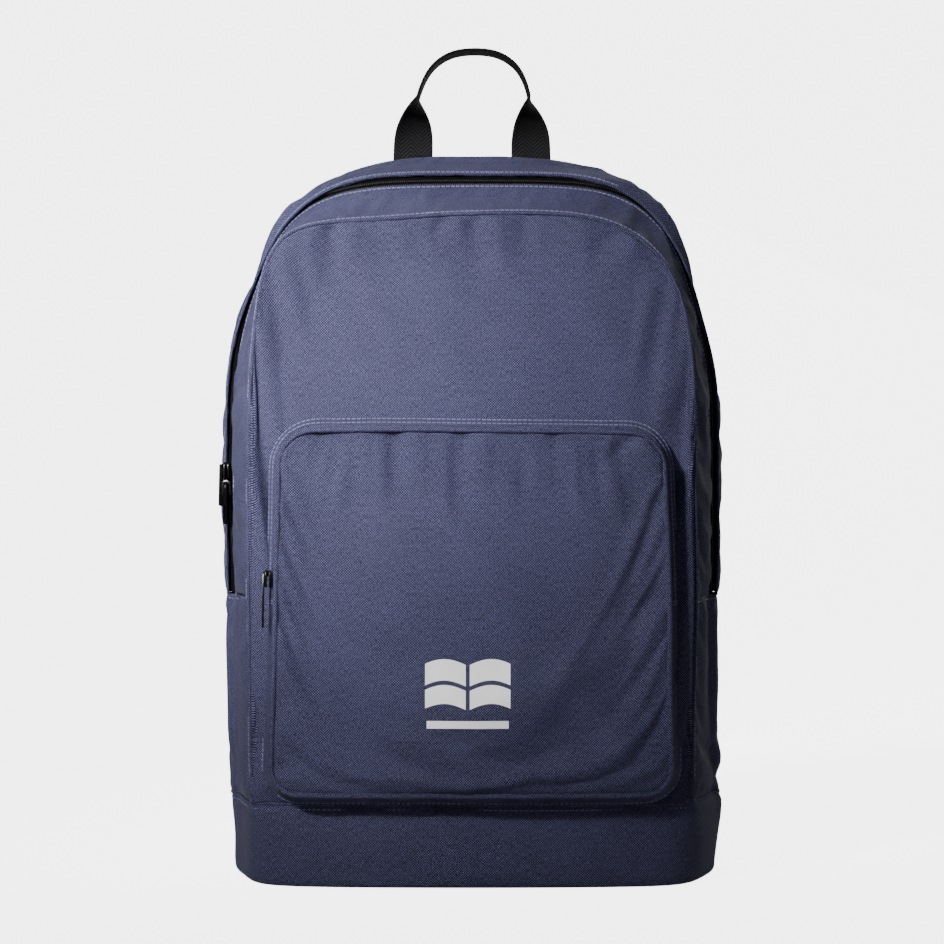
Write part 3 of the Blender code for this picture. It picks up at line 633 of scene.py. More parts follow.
def pathRows(name, paths, tree, finish, changes=None):
    # one piece with the repeated shape along each path
    mesh = bmesh.new()
    for points in paths:
        verts = [mesh.verts.new(point) for point in points]
        for first, second in zip(verts, verts[1:]):
            mesh.edges.new((first, second))
    piece = newPiece(name, mesh, finish)
    modifier = piece.modifiers.new("rows", "NODES")
    modifier.node_group = tree
    for item in tree.interface.items_tree:
        if item.in_out != "INPUT":
            continue
        if item.name == "Finish":
            modifier[item.identifier] = finish
        elif changes and item.name in changes:
            modifier[item.identifier] = changes[item.name]
    return settled(piece)


# ---- small folds that follow the seams ----
def gather(along, away, seed, pitch=0.012, reach=0.016, depth=0.0011):
    # ripples that start at a seam and die away from it
    wave = noise.noise(Vector((along / pitch, seed, away / 0.04)))
    finer = noise.noise(Vector((along / pitch * 2.3, seed + 5.0, away / 0.03))) * 0.45
    return (wave + finer) * depth * math.exp(-max(away, 0.0) / reach)


def puckers(along, away, specs):
    # single folds from a seam: where, slant, reach, depth and width of each
    total = 0.0
    for at, slant, reach, depth, width in specs:
        far = (along - at - slant * away) / (width * (1.0 + away / 0.03))
        total += depth * math.exp(-far * far - away / reach)
    return total * (1.0 - math.exp(-away / 0.002))


def softFold(point, seed, size=0.07, depth=0.0022):
    # broad diagonal dents and swells
    turned = Vector((point.x + 0.55 * point.z, 0.45 * point.z - 0.3 * point.x, point.y + seed))
    broad = noise.noise(turned / size)
    crease = 1.0 - abs(noise.noise(Vector((turned.x / 0.035, turned.y / 0.11, seed * 3.1)))) * 3.0
    return broad * depth + max(crease, 0.0) * depth * 0.45


def displace(piece, amount):
    # moves each point along its normal by amount(point)
    shifts = [vertex.normal * amount(vertex.co) for vertex in piece.data.vertices]
    for vertex, shift in zip(piece.data.vertices, shifts):
        vertex.co += shift
    piece.data.update()


# ---- the sewn shape isn't quite even ----
slumps = (
    {"at": (-0.118, -0.042, 0.374), "radius": 0.034, "move": (-0.0030, -0.001, 0.0085)},
    {"at": (-0.060, -0.040, 0.400), "radius": 0.040, "move": (0.0, 0.0, -0.0030)},
    {"at": (0.105, -0.042, 0.380), "radius": 0.036, "move": (0.001, 0.0, -0.0030)},
    {"at": (0.098, 0.050, 0.430), "radius": 0.038, "move": (0.0030, 0.0, 0.0048)},
    {"at": (-0.088, 0.050, 0.432), "radius": 0.030, "move": (-0.0010, 0.0, 0.0022)},
    {"at": (-0.139, 0.035, 0.372), "radius": 0.036, "move": (0.0065, 0.0, -0.0010)},
    {"at": (0.143, 0.035, 0.350), "radius": 0.034, "move": (-0.0050, 0.0, 0.0)},
    {"at": (0.152, 0.010, 0.130), "radius": 0.050, "move": (-0.0030, 0.0, 0.0)},
    {"at": (-0.150, 0.010, 0.120), "radius": 0.055, "move": (0.0030, 0.0, 0.0)},
    {"at": (0.146, 0.000, 0.030), "radius": 0.045, "move": (0.0060, 0.0, 0.0)},
    {"at": (0.100, -0.095, 0.240), "radius": 0.050, "move": (0.0, -0.0020, -0.0015)},
)
still = {"points": ((-0.151, 0.006, 0.243), (-0.121, -0.071, 0.184)), "radius": 0.040, "drift": 0.0012}


def slumped(point):
    moved = Vector()
    for spot in slumps:
        far = (point - Vector(spot["at"])).length / spot["radius"]
        moved += Vector(spot["move"]) * math.exp(-far * far)
    loose = 1.0
    for at in still["points"]:
        loose *= 1.0 - math.exp(-(((point - Vector(at)).length / still["radius"]) ** 2))
    loose *= ease((bag["backY"] - 0.003 - point.y) / 0.030)
    moved += noise.noise_vector(point * 11.0 + Vector((4.0, 9.0, 2.0))) * still["drift"] * loose
    moved.z *= ease(point.z / 0.04)
    return point + moved


def slump(piece):
    for vertex in piece.data.vertices:
        vertex.co = slumped(vertex.co)
    piece.data.update()


# ---- front panel ----
frontPanelSizes = {"columns": 44, "rows": 104, "inset": 0.0008, "fullness": 0.012, "pressure": 1.2, "cap": 0.005}
frontPuckers = (
    (-0.086, 0.30, 0.020, -0.0046, 0.0050), (-0.074, 0.30, 0.022, 0.0035, 0.0060),
    (-0.018, -0.15, 0.013, -0.0041, 0.0042), (-0.010, -0.10, 0.014, 0.0027, 0.0045),
    (0.001, 0.08, 0.034, -0.0046, 0.0050), (0.012, 0.10, 0.030, 0.0035, 0.0065),
    (0.032, -0.20, 0.012, -0.0032, 0.0042), (0.052, 0.15, 0.012, -0.0032, 0.0042),
    (0.088, -0.45, 0.028, -0.0041, 0.0060), (0.099, -0.50, 0.030, 0.0032, 0.0065), (0.112, -0.60, 0.020, -0.0032, 0.0050),
)


def panelRows(low, high, depth, inset, face, columns, count, power=1.5):
    half = rim(depth)[0] - inset
    shoulder = bag["shoulder"] * rim(depth)[1]
    rows = []
    for step in range(count):
        row = []
        for column in range(-columns, columns + 1):
            share = abs(column) / columns
            across = math.copysign(1.0 - (1.0 - share) ** power, column)
            top = min(high, archTop(depth, across, inset))
            height = mix(low, max(top, low), step / (count - 1))
            x = across * half * halfWidth(depth, min(height, shoulder), inset) / half
            row.append(Vector((x, face(x, height), height)))
        rows.append(row)
    return rows


def makeFrontPanel():
    sizes = frontPanelSizes
    low = bag["seamHeight"]
    rows = panelRows(low, bag["frontTop"], 1.0, sizes["inset"], frontY, sizes["columns"], sizes["rows"])
    piece = gridPiece("frontPanel", rows, indigo, core=bag["core"], flat=True)
    pins = gridEdges(sizes["rows"], 2 * sizes["columns"] + 1)
    simulateCloth(piece, pins, sizes["fullness"], sizes["pressure"], sizes["cap"])
    half = bag["frontHalf"]

    def dents(point):
        top = archTop(1.0, point.x / half)
        toTop = top - point.z
        toSide = half - abs(point.x)
        held = ease(min(toTop, toSide, point.z - low) / 0.012)
        near = gather(point.x, toTop, 1.0, 0.011, 0.010, 0.0012) + gather(point.z, toSide, 4.0, 0.016, 0.010, 0.0007)
        near += puckers(point.x, toTop, frontPuckers)
        return near * ease(min(toTop, toSide) / 0.003) + softFold(point, 2.0) * held

    displace(piece, dents)
    thicken(piece, bag["fabric"], smooth=1)
    bendWithFlap(piece, "pack_cloth", "front_panel_lower", "front_panel_upper")


makeFrontPanel()
print("front panel made")

# ---- bands between the panels ----
bandSizes = {"columns": 110, "rows": 16, "fullness": 0.02, "pressure": 1.0, "cap": 0.004, "sideCap": 0.0022, "hem": 0.0008}


def zipGap():
    return bag["zipDepth"] - bag["zipSlot"] / 2 / bag["run"], bag["zipDepth"] + bag["zipSlot"] / 2 / bag["run"]


def seamDepth(clear=0.0008):
    return 1.0 - clear / bag["run"]


def bandDents(firstDepth, lastDepth, seed):
    # gathers along both edges, softer folds between them
    def amount(point):
        depth = (bag["backY"] - point.y) / (bag["backY"] - seamY(point.z))
        near = min(abs(depth - firstDepth), abs(lastDepth - depth)) * bag["run"]
        along = math.atan2(point.z - 0.22, point.x) * 0.19
        held = ease(near / 0.012)
        return gather(along, near, seed, 0.013, 0.010, 0.0011) * ease(near / 0.002) + softFold(point, seed, 0.06, 0.0016) * held

    return amount


hood = {"angle": 38.0, "spread": 18.0, "reach": 0.0115, "lift": 0.0022}


def hoodShare(point):
    # 1 on the shoulders, where the rear band lies over the zip
    angle = math.degrees(math.atan2(point.z - 0.30, abs(point.x)))
    return math.exp(-(((angle - hood["angle"]) / hood["spread"]) ** 2))


def rearPath(depth, low, count, inset=0.0):
    # a path on the rear band, drawn forward on the shoulders
    plain = archPath(depth, low, count, inset)
    ahead = archPath(depth + hood["reach"] / bag["run"], low, count, inset - hood["lift"])
    share = ease(depth / zipGap()[0])
    return [point.lerp(other, hoodShare(point) * share) for point, other in zip(plain, ahead)]


def bandPiece(name, low, first, last, seed, route):
    count = bandSizes["rows"]
    rows = [route(depth, low, bandSizes["columns"]) for depth in steps(first, last, count)]
    piece = gridPiece(name, rows, indigo, core=bag["core"])
    pins = gridEdges(count, 2 * bandSizes["columns"] - 1)
    simulateCloth(piece, pins, bandSizes["fullness"], bandSizes["pressure"], bandSizes["cap"])
    displace(piece, bandDents(first, last, seed))
    return thicken(piece, bag["fabric"], smooth=1)


def sidePiece(name, side, seed):
    last = seamDepth()
    rows = [sidePath(depth, bag["seamHeight"], bag["zipEnd"] - 0.0003, 34, side) for depth in steps(0.005, last, 34)]
    piece = gridPiece(name, rows, indigo, core=bag["core"])
    simulateCloth(piece, gridEdges(34, 34), bandSizes["fullness"], bandSizes["pressure"], bandSizes["sideCap"])

    def dents(point):
        depth = (bag["backY"] - point.y) / (bag["backY"] - seamY(point.z))
        near = min(min(depth, 1.0 - depth) * bag["run"], point.z - bag["seamHeight"], bag["zipEnd"] - point.z)
        return (gather(point.z, near, seed, 0.014, 0.012, 0.0010) + softFold(point, seed, 0.05, 0.0022)) * ease(near / 0.008)

    displace(piece, dents)
    return thicken(piece, bag["fabric"], smooth=1)


def makeBands():
    rearEnd, frontStart = zipGap()
    rear = bandPiece("rearBand", bag["zipEnd"], 0.005, rearEnd, 11.0, rearPath)
    ride(rear, "bag", "pack_cloth", "rear_band")
    front = bandPiece("frontBand", bag["zipEnd"], frontStart, seamDepth(), 17.0, archPath)
    bendWithFlap(front, "pack_cloth", "front_band_upper", "front_band_left", "front_band_right")
    for label, side in (("left", -1), ("right", 1)):
        piece = sidePiece(f"sidePanel_{label}", side, 23.0 + side)
        ride(piece, "bag", "pack_cloth", f"side_panel_{label}")
    hemRadius = bandSizes["hem"]
    for name, depth, bends in (("rearHem", rearEnd - 0.002, False), ("frontHem", frontStart + 0.002, True)):
        route = archPath if bends else rearPath
        hem = tubePiece(name, route(depth, bag["zipEnd"], 180, hemRadius * 0.4), hemRadius, indigo, 8)
        if bends:
            bendWithFlap(hem, "pack_cloth")
        else:
            ride(hem, "bag", "pack_cloth")
    path = archPath(1.0, bag["seamHeight"], 220)
    piping = tubePiece("frontPiping", path, 0.0012, indigo, 12)
    bendWithFlap(piping, "pack_cloth", "front_piping_upper", "front_piping_left", "front_piping_right")


makeBands()
print("bands made")


def makeBandStitches():
    rearEnd, frontStart = zipGap()
    out = -0.0002
    rearRows = [rearPath(rearEnd - 0.0032 / bag["run"], bag["zipEnd"], 220, out)]
    ride(pathRows("rearStitches", rearRows, stitchTree, thread), "bag", "pack_cloth")
    frontRows = [archPath(frontStart + 0.0032 / bag["run"], bag["zipEnd"], 220, out)]
    frontRows.append(archPath(seamDepth(0.0048), bag["zipEnd"], 220, out))
    bendWithFlap(pathRows("frontStitches", frontRows, stitchTree, thread), "pack_cloth")
    sideRows = []
    for side in (-1, 1):
        sideRows.append(sidePath(seamDepth(0.0048), bag["seamHeight"], bag["zipEnd"], 40, side, out))
        depths = steps(0.02, seamDepth(0.004), 40)
        height = bag["zipEnd"] - 0.003
        sideRows.append([rimPoint(side * halfWidth(depth, height, out), depth, height) for depth in depths])
    ride(pathRows("sideStitches", sideRows, stitchTree, thread), "bag", "pack_cloth")


makeBandStitches()

# ---- main zip ----
mainZip = {"recess": 0.0012, "tape": 0.0008, "lap": 0.0030, "beadHalf": 0.0022}


def makeMainZip():
    rearEnd, frontStart = zipGap()
    lap = mainZip["lap"] / bag["run"]
    middle = bag["zipDepth"]
    half = 0.00012 / bag["run"]
    for name, first, last, bends, nodes in (
        ("mainZipRear", rearEnd - lap, middle - half, False, ("main_zip_rear",)),
        ("mainZipFront", middle + half, frontStart + lap, True,
         ("main_zip_front_upper", "main_zip_front_left", "main_zip_front_right")),
    ):
        rows = [archPath(depth, bag["zipEnd"] - 0.001, 110, mainZip["recess"] + bag["fabric"]) for depth in steps(first, last, 5)]
        piece = gridPiece(name, rows, zipTape, core=bag["core"])
        thicken(piece, mainZip["tape"], smooth=1)
        side = -1 if not bends else 1
        bead = archPath(middle + side * 0.0011 / bag["run"], bag["zipEnd"] + 0.001, 300, mainZip["recess"] + 0.0006)
        teeth = pathRows(name + "Teeth", [bead], toothTree, coil, {"Length": mainZip["beadHalf"]})
        if bends:
            bendWithFlap(piece, "zip_tape", *nodes)
            bendWithFlap(teeth, "zip_tape")
        else:
            ride(piece, "bag", "zip_tape", *nodes)
            ride(teeth, "bag", "zip_tape")


makeMainZip()
print("main zip made")

# ---- base ----
baseSizes = {"fillet": 0.0040, "swell": 0.05, "rows": 30, "edge": 0.0010}


def levelSection(height, softening):
    # a closed level outline: right side, front, left side and back
    count = 34
    right = []
    for depth in steps(0.0, 1.0, count + 1):
        right.append(rimPoint(halfWidth(depth, height), depth, height))
    front = []
    for step in range(1, 2 * count):
        x = mix(right[-1].x, -right[-1].x, step / (2 * count))
        front.append(Vector((x, frontY(x, height), height)))
    left = [Vector((-point.x, point.y, height)) for point in reversed(right)]
    back = [left[-1].lerp(right[0], step / (2 * count)) for step in range(1, 2 * count)]
    points = right + front + left + back
    for _ in range(softening):
        after = points[1:] + points[:1]
        before = points[-1:] + points[:-1]
        points = [(a + 2 * b + c) / 4 for a, b, c in zip(before, points, after)]
    return points


def makeBase():
    sizes = baseSizes
    top = bag["seamHeight"] - 0.0003
    rows = []
    soft = levelSection(top, 36)
    sharp = levelSection(top, 4)
    for share in steps(0.0, 1.0, sizes["rows"]):
        height = mix(top, sizes["fillet"], share)
        rows.append([])
        lean = 1.0 - 0.008 * ease(share)
        swell = 1.0 + sizes["swell"] * ease(share)
        for first, second in zip(sharp, soft):
            point = first.lerp(second, ease(share * 1.6))
            rows[-1].append(Vector((point.x * lean, point.y * (swell if point.y < 0.0 else 1.0), height)))
    outline = rows[-1]
    reachX = max(point.x for point in outline)
    lowY = min(point.y for point in outline)
    highY = max(point.y for point in outline)
    middle = (lowY + highY) / 2
    for turn in steps(0.0, math.pi / 2, 8)[1:]:
        inset = sizes["fillet"] * (1.0 - math.cos(turn))
        height = sizes["fillet"] * (1.0 - math.sin(turn)) + 0.0004
        shrinkX = 1.0 - inset / reachX
        shrinkY = 1.0 - inset / ((highY - lowY) / 2)
        rows.append([Vector((p.x * shrinkX, mix(middle, p.y, shrinkY), height)) for p in outline])
    ring = rows[-1]
    for share in (0.8, 0.55, 0.3, 0.08):
        rows.append([Vector((p.x * share, mix(middle, p.y, share), 0.0004)) for p in ring])
    piece = gridPiece("basePanel", rows, indigo, closed=True, core=Vector((0.0, 0.0, 0.03)))
    mesh = bmesh.new()
    mesh.from_mesh(piece.data)
    mesh.verts.ensure_lookup_table()
    mesh.faces.new([mesh.verts[index] for index in range(len(mesh.verts) - len(ring), len(mesh.verts))])
    bmesh.ops.recalc_face_normals(mesh, faces=mesh.faces[:])
    mesh.normal_update()
    lowest = min(mesh.faces, key=lambda face: face.calc_center_median().z)
    if lowest.normal.z > 0.0:
        bmesh.ops.reverse_faces(mesh, faces=mesh.faces[:])
    mesh.to_mesh(piece.data)
    mesh.free()

    def dents(point):
        fromTop = top - point.z
        held = ease(fromTop / 0.006) * ease((point.z - 0.002) / 0.008)
        along = math.atan2(point.y, point.x) * 0.12 + point.x
        return (gather(along, fromTop, 31.0, 0.016, 0.014, 0.0012) + softFold(point, 33.0, 0.05, 0.0024)) * held

    displace(piece, dents)
    thicken(piece, bag["fabric"], smooth=1)
    ride(piece, "bag", "pack_cloth", "base_panel")
    upper = levelSection(top - sizes["edge"] * 0.2, 4)
    roll = tubePiece("baseSeamRoll", upper, sizes["edge"], indigo, 8, cyclic=True)
    ride(roll, "bag", "pack_cloth")
    row = [point + Vector((point.x, point.y, 0.0)).normalized() * 0.0002 for point in levelSection(top - 0.0034, 5)]
    ride(pathRows("baseStitches", [row + row[:1]], stitchTree, thread), "bag", "pack_cloth")


makeBase()
print("base made")

# ---- front pocket ----
pocket = {
    "low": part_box("pocket_piping")[0].z + 0.0016,
    "top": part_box("pocket_piping")[1].z - 0.0016,
    "lowHalf": 0.118,
    "topHalf": 0.1145,
    "topRadius": 0.022,
    "lowRadius": 0.016,
    "depth": 0.020,
    "crown": 0.008,
    "flare": 0.007,
    "zipHeight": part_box("pocket_top_band")[0].z,
    "seam": 0.0014,
    "slot": 0.0050,
    "piping": 0.0018,
    "core": Vector((0.0, -0.07, 0.165)),
}


def pocketHalf(height):
    return mix(pocket["lowHalf"], pocket["topHalf"], (height - pocket["low"]) / (pocket["top"] - pocket["low"]))


def pocketOutline(grow=0.0, cornerSteps=14, edgeSteps=30):
    top, low = pocket["top"] + grow, pocket["low"] - grow
    halfTop, halfLow = pocket["topHalf"] + grow, pocket["lowHalf"] + grow
    radiusTop, radiusLow = pocket["topRadius"] + grow, pocket["lowRadius"] + grow
    turns = [math.radians(90.0 * step / cornerSteps) for step in range(cornerSteps + 1)]
    right = [Vector((mix(0.0, halfLow - radiusLow, step / edgeSteps), 0.0, low)) for step in range(edgeSteps)]
    for turn in turns:
        right.append(Vector((halfLow - radiusLow * (1 - math.sin(turn)), 0.0, low + radiusLow * (1 - math.cos(turn)))))
    start = right[-1]
    end = Vector((halfTop, 0.0, top - radiusTop))
    right += [start.lerp(end, step / edgeSteps) for step in range(1, edgeSteps)]
    for turn in turns:
        right.append(Vector((halfTop - radiusTop * (1 - math.cos(turn)), 0.0, top - radiusTop * (1 - math.sin(turn)))))
    right += [Vector((mix(halfTop - radiusTop, 0.0, step / edgeSteps), 0.0, top)) for step in range(1, edgeSteps + 1)]
    return right + [Vector((-point.x, 0.0, point.z)) for point in reversed(right[1:-1])]


def pocketStretch(grow, overTop, count, level=None):
    level = level or pocket["zipHeight"]
    outline = pocketOutline(grow)
    fine = evenly(outline + outline[:1], 900)[:-1]
    half = pocketHalf(level) + grow
    if overTop:
        picked = [point for point in fine if point.z > level]
        return evenly([Vector((half, 0.0, level)), *picked, Vector((-half, 0.0, level))], count)
    left = [point for point in fine if point.z < level and point.x < 0.0]
    right = [point for point in fine if point.z < level and point.x >= 0.0]
    return evenly([Vector((-half, 0.0, level)), *left, *right, Vector((half, 0.0, level))], count)


def pocketEdgeY(x, height):
    return frontY(x, height) - pocket["depth"]


def pocketPoint(point, share, lift=0.0):
    near = frontY(point.x, point.z) - 0.0003
    return Vector((point.x, mix(near, pocketEdgeY(point.x, point.z), share) + lift, point.z))


def pocketFaceY(x, height):
    middle = (pocket["low"] + pocket["top"]) / 2
    across = min(abs(x) / pocket["lowHalf"], 1.0)
    up = min(abs(height - middle) / (pocket["top"] - middle), 1.0)
    return pocketEdgeY(x, height) - pocket["crown"] * (1 - across**3) * (1 - up**3)


def pocketBand(name, overTop, first, last, count, rowCount, finish, thickness, inset=0.0):
    rows = []
    for share in steps(first, last, rowCount):
        stretch = pocketStretch(pocket["flare"] * (1.0 - share) - inset, overTop, count)
        rows.append([pocketPoint(point, share) for point in stretch])
    piece = gridPiece(name, rows, finish, core=pocket["core"])
    return piece, rows


def cornerRise(x, radius, half):
    beyond = min(max(abs(x) - (half - radius), 0.0), radius)
    return radius - math.sqrt(max(radius**2 - beyond**2, 0.0))


def pocketEdgeDistance(x, height):
    # how far a point of the face is from the pocket's outline
    half = pocketHalf(height)
    side = half - abs(x)
    radius = pocket["topRadius"] if height > 0.165 else pocket["lowRadius"]
    rise = cornerRise(x, radius, half)
    return min(side, pocket["top"] - rise - height, height - pocket["low"] - rise)


pocketFace = {"columns": 46, "rows": 86, "fullness": 0.016, "pressure": 1.6, "cap": 0.007}
pocketTopPuckers = (
    (-0.094, 0.70, 0.022, -0.0038, 0.0060), (-0.047, 0.15, 0.018, -0.0036, 0.0046), (-0.038, 0.20, 0.018, 0.0024, 0.0050),
    (-0.006, 0.05, 0.024, -0.0041, 0.0050), (0.005, 0.10, 0.022, 0.0029, 0.0060), (0.046, 0.20, 0.018, -0.0034, 0.0048),
    (0.074, -0.20, 0.016, -0.0029, 0.0046), (0.098, -0.80, 0.026, -0.0043, 0.0065), (0.106, -0.90, 0.022, 0.0026, 0.0060),
)
pocketSidePuckers = (
    (0.232, -0.40, 0.020, -0.0026, 0.0060), (0.176, -0.55, 0.032, -0.0030, 0.0060), (0.166, -0.60, 0.030, 0.0022, 0.0065),
    (0.120, 0.35, 0.018, -0.0020, 0.0060), (0.082, 0.60, 0.024, -0.0026, 0.0070),
)


def pocketFaceRows(columns, rowCount, inset):
    rows = []
    for step in range(rowCount):
        row = []
        for column in range(-columns, columns + 1):
            across = math.copysign(1.0 - (1.0 - abs(column) / columns) ** 1.5, column)
            lowX = across * (pocket["lowHalf"] - inset)
            topX = across * (pocket["topHalf"] - inset)
            low = pocket["low"] + inset + cornerRise(lowX, pocket["lowRadius"] - inset, pocket["lowHalf"] - inset)
            top = pocket["top"] - inset - cornerRise(topX, pocket["topRadius"] - inset, pocket["topHalf"] - inset)
            height = mix(low, top, step / (rowCount - 1))
            x = across * (pocketHalf(height) - inset)
            row.append(Vector((x, pocketFaceY(x, height), height)))
        rows.append(row)
    return rows


def makePocketFace():
    sizes = pocketFace
    rows = pocketFaceRows(sizes["columns"], sizes["rows"], 0.0010)
    piece = gridPiece("pocketFace", rows, indigo, core=pocket["core"], flat=True)
    pins = gridEdges(sizes["rows"], 2 * sizes["columns"] + 1)
    simulateCloth(piece, pins, sizes["fullness"], sizes["pressure"], sizes["cap"])

    def dents(point):
        edge = pocketEdgeDistance(point.x, point.z)
        toTop = pocket["top"] - point.z
        toSide = pocketHalf(point.z) - abs(point.x)
        toLow = point.z - pocket["low"]
        near = gather(point.x, toTop, 41.0, 0.013, 0.012, 0.0014)
        near += gather(point.z, toSide, 43.0, 0.015, 0.010, 0.0010)
        near += gather(point.x, toLow, 45.0, 0.014, 0.010, 0.0012)
        near += puckers(point.x, toTop, pocketTopPuckers)
        near += puckers(point.z + (0.012 if point.x < 0.0 else 0.0), toSide, pocketSidePuckers)
        return (near + softFold(point, 47.0, 0.08, 0.0024)) * ease(edge / 0.004)

    displace(piece, dents)
    thicken(piece, bag["fabric"], smooth=1)
    ride(piece, "bag", "pack_cloth", "pocket_front")
    return piece


def makePocketBands():
    depth = pocket["depth"]
    zipStart = 1.0 - (pocket["seam"] + pocket["slot"]) / depth
    zipEnd = 1.0 - pocket["seam"] / depth
    middle = (zipStart + zipEnd) / 2
    top, topRows = pocketBand("pocketTopBand", True, 0.0, zipStart, 190, 10, indigo, bag["fabric"])
    displace(top, lambda point: gather(point.x + point.z, 0.004, 51.0, 0.014, 0.02, 0.0006))
    thicken(top, bag["fabric"], smooth=1)
    ride(top, "bag", "pack_cloth", "pocket_top_band")
    lower, _ = pocketBand("pocketGusset", False, 0.0, zipEnd, 170, 14, indigo, bag["fabric"])
    displace(lower, lambda point: gather(point.x + point.z, 0.004, 53.0, 0.016, 0.02, 0.0014))
    thicken(lower, bag["fabric"], smooth=1)
    ride(lower, "bag", "pack_cloth", "pocket_gusset")
    for name, first, last, node, side in (
        ("pocketZipInner", zipStart - 0.08, middle - 0.006, "pocket_zip_inner", -1),
        ("pocketZipOuter", middle + 0.006, zipEnd + 0.04, "pocket_zip_outer", 1),
    ):
        tape, _ = pocketBand(name, True, first, last, 160, 4, zipTape, 0.0008, 0.0014)
        thicken(tape, 0.0008)
        ride(tape, "bag", "zip_tape", node)
        share = middle + side * 0.0010 / depth
        bead = [pocketPoint(point, share) for point in pocketStretch(pocket["flare"] * (1.0 - share) - 0.0009, True, 300)]
        teeth = pathRows(name + "Teeth", [bead], toothTree, coil, {"Length": 0.0019, "Radius": 0.00036, "Pitch": 0.0012})
        ride(teeth, "bag", "zip_tape")
    hem = [pocketPoint(point, zipStart) for point in pocketStretch(pocket["flare"] * (1.0 - zipStart), True, 220)]
    ride(tubePiece("pocketHem", hem, 0.0008, indigo, 8), "bag", "pack_cloth")
    loop = [Vector((point.x, pocketEdgeY(point.x, point.z), point.z)) for point in pocketOutline()]
    loop = evenly(loop + loop[:1], 420)[:-1]
    piping = tubePiece("pocketPiping", loop, pocket["piping"], indigo, 12, cyclic=True)
    ride(piping, "bag", "pack_cloth", "pocket_piping")
    stitchRows = []
    for share in (0.10, 0.42):
        stretch = pocketStretch(pocket["flare"] * (1.0 - share) + 0.0002, True, 260)
        stitchRows.append([pocketPoint(point, share) for point in stretch])
    stretch = pocketStretch(pocket["flare"] * 0.9 + 0.0002, False, 240)
    stitchRows.append([pocketPoint(point, 0.1) for point in stretch])
    for side in (-1, 1):
        for lift in (0.0, 0.0016):
            height = pocket["zipHeight"] - 0.001 - lift
            shares = steps(0.35, 1.0, 12)
            stitchRows.append(
                [pocketPoint(Vector((side * (pocketHalf(height) + pocket["flare"] * (1 - share) + 0.0003), 0.0, height)), share)
                 for share in shares]
            )
    ride(pathRows("pocketStitches", stitchRows, stitchTree, thread), "bag", "pack_cloth")


pocketPiece = makePocketFace()
makePocketBands()
print("pocket made")


# ---- plain mark printed on the pocket: an open book over a bar ----
mark = {"centre": (-0.0025, 0.1165), "wide": 0.050, "tall": 0.026, "bar": 0.0045, "lift": 0.0004}


def surfaceY(piece, x, height):
    # front of a piece at a point of its face
    hit, where, _, _ = piece.ray_cast(Vector((x, -0.4, height)), Vector((0.0, 1.0, 0.0)))
    return where.y if hit else pocketFaceY(x, height)


def makeMark():
    cx, cz = mark["centre"]
    half = mark["wide"] / 2
    shapes = []
    for side in (-1, 1):
        for low, high in ((0.0, 0.42), (0.52, 1.0)):
            shapes.append([(side * 0.0012, low), (side * half, low), (side * half, high), (side * 0.0012, high)])
    mesh = bmesh.new()
    layer = mesh.loops.layers.uv.new("cloth")
    cells = 14

    def patch(corners, bend):
        grid = []
        for j in range(7):
            row = []
            for i in range(cells + 1):
                s, t = i / cells, j / 6
                x = mix(mix(corners[0][0], corners[1][0], s), mix(corners[3][0], corners[2][0], s), t)
                z = mix(mix(corners[0][1], corners[1][1], s), mix(corners[3][1], corners[2][1], s), t)
                z += bend * math.sin(math.pi * min(abs(x) / half, 1.0) * 0.9)
                y = surfaceY(pocketPiece, cx + x, cz + z) - mark["lift"]
                row.append(mesh.verts.new((cx + x, y, cz + z)))
            grid.append(row)
        for lower, upper in zip(grid, grid[1:]):
            for a, b, c, d in zip(lower, lower[1:], upper[1:], upper):
                face = mesh.faces.new((a, b, c, d))
                for loop in face.loops:
                    loop[layer].uv = (loop.vert.co.x, loop.vert.co.z)

    for shape in shapes:
        corners = [(x, (share - 0.5) * mark["tall"] + 0.004) for x, share in shape]
        patch(corners, 0.004)
    barHalf = half * 0.96
    low = -mark["tall"] / 2 - 0.0065
    patch([(-barHalf, low), (barHalf, low), (barHalf, low + mark["bar"]), (-barHalf, low + mark["bar"])], 0.0)
    mesh.normal_update()
    for face in mesh.faces:
        if face.normal.y > 0.0:
            face.normal_flip()
    piece = newPiece("pocketMark", mesh, printInk)
    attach(piece, "bag")


makeMark()

# ---- sweeps of a flat section ----
def sweepPiece(name, path, across, sections, finish):
    # closed sections (u across, w along the normal) at each point of a path
    rings = []
    for index, point in enumerate(path):
        run = (path[min(index + 1, len(path) - 1)] - path[max(index - 1, 0)]).normalized()
        side = across[index] if isinstance(across, list) else across
        normal = side.cross(run).normalized()
        rings.append([point + side * u + normal * w for u, w in sections[index]])
    piece = gridPiece(name, rings, finish, closed=True)
    mesh = bmesh.new()
    mesh.from_mesh(piece.data)
    bmesh.ops.holes_fill(mesh, edges=[edge for edge in mesh.edges if edge.is_boundary], sides=0)
    bmesh.ops.recalc_face_normals(mesh, faces=mesh.faces[:])
    mesh.to_mesh(piece.data)
    mesh.free()
    return piece


def stripSection(width, thickness, cells=10):
    # webbing: flat faces and round edges
    radius = thickness / 2
    inner = width / 2 - radius
    ring = [(mix(-inner, inner, step / cells), radius) for step in range(cells + 1)]
    ring += [(inner + radius * math.sin(turn), radius * math.cos(turn)) for turn in steps(0.0, math.pi, 7)[1:-1]]
    ring += [(mix(inner, -inner, step / cells), -radius) for step in range(cells + 1)]
    ring += [(-inner - radius * math.sin(turn), -radius * math.cos(turn)) for turn in steps(0.0, math.pi, 7)[1:-1]]
    return ring


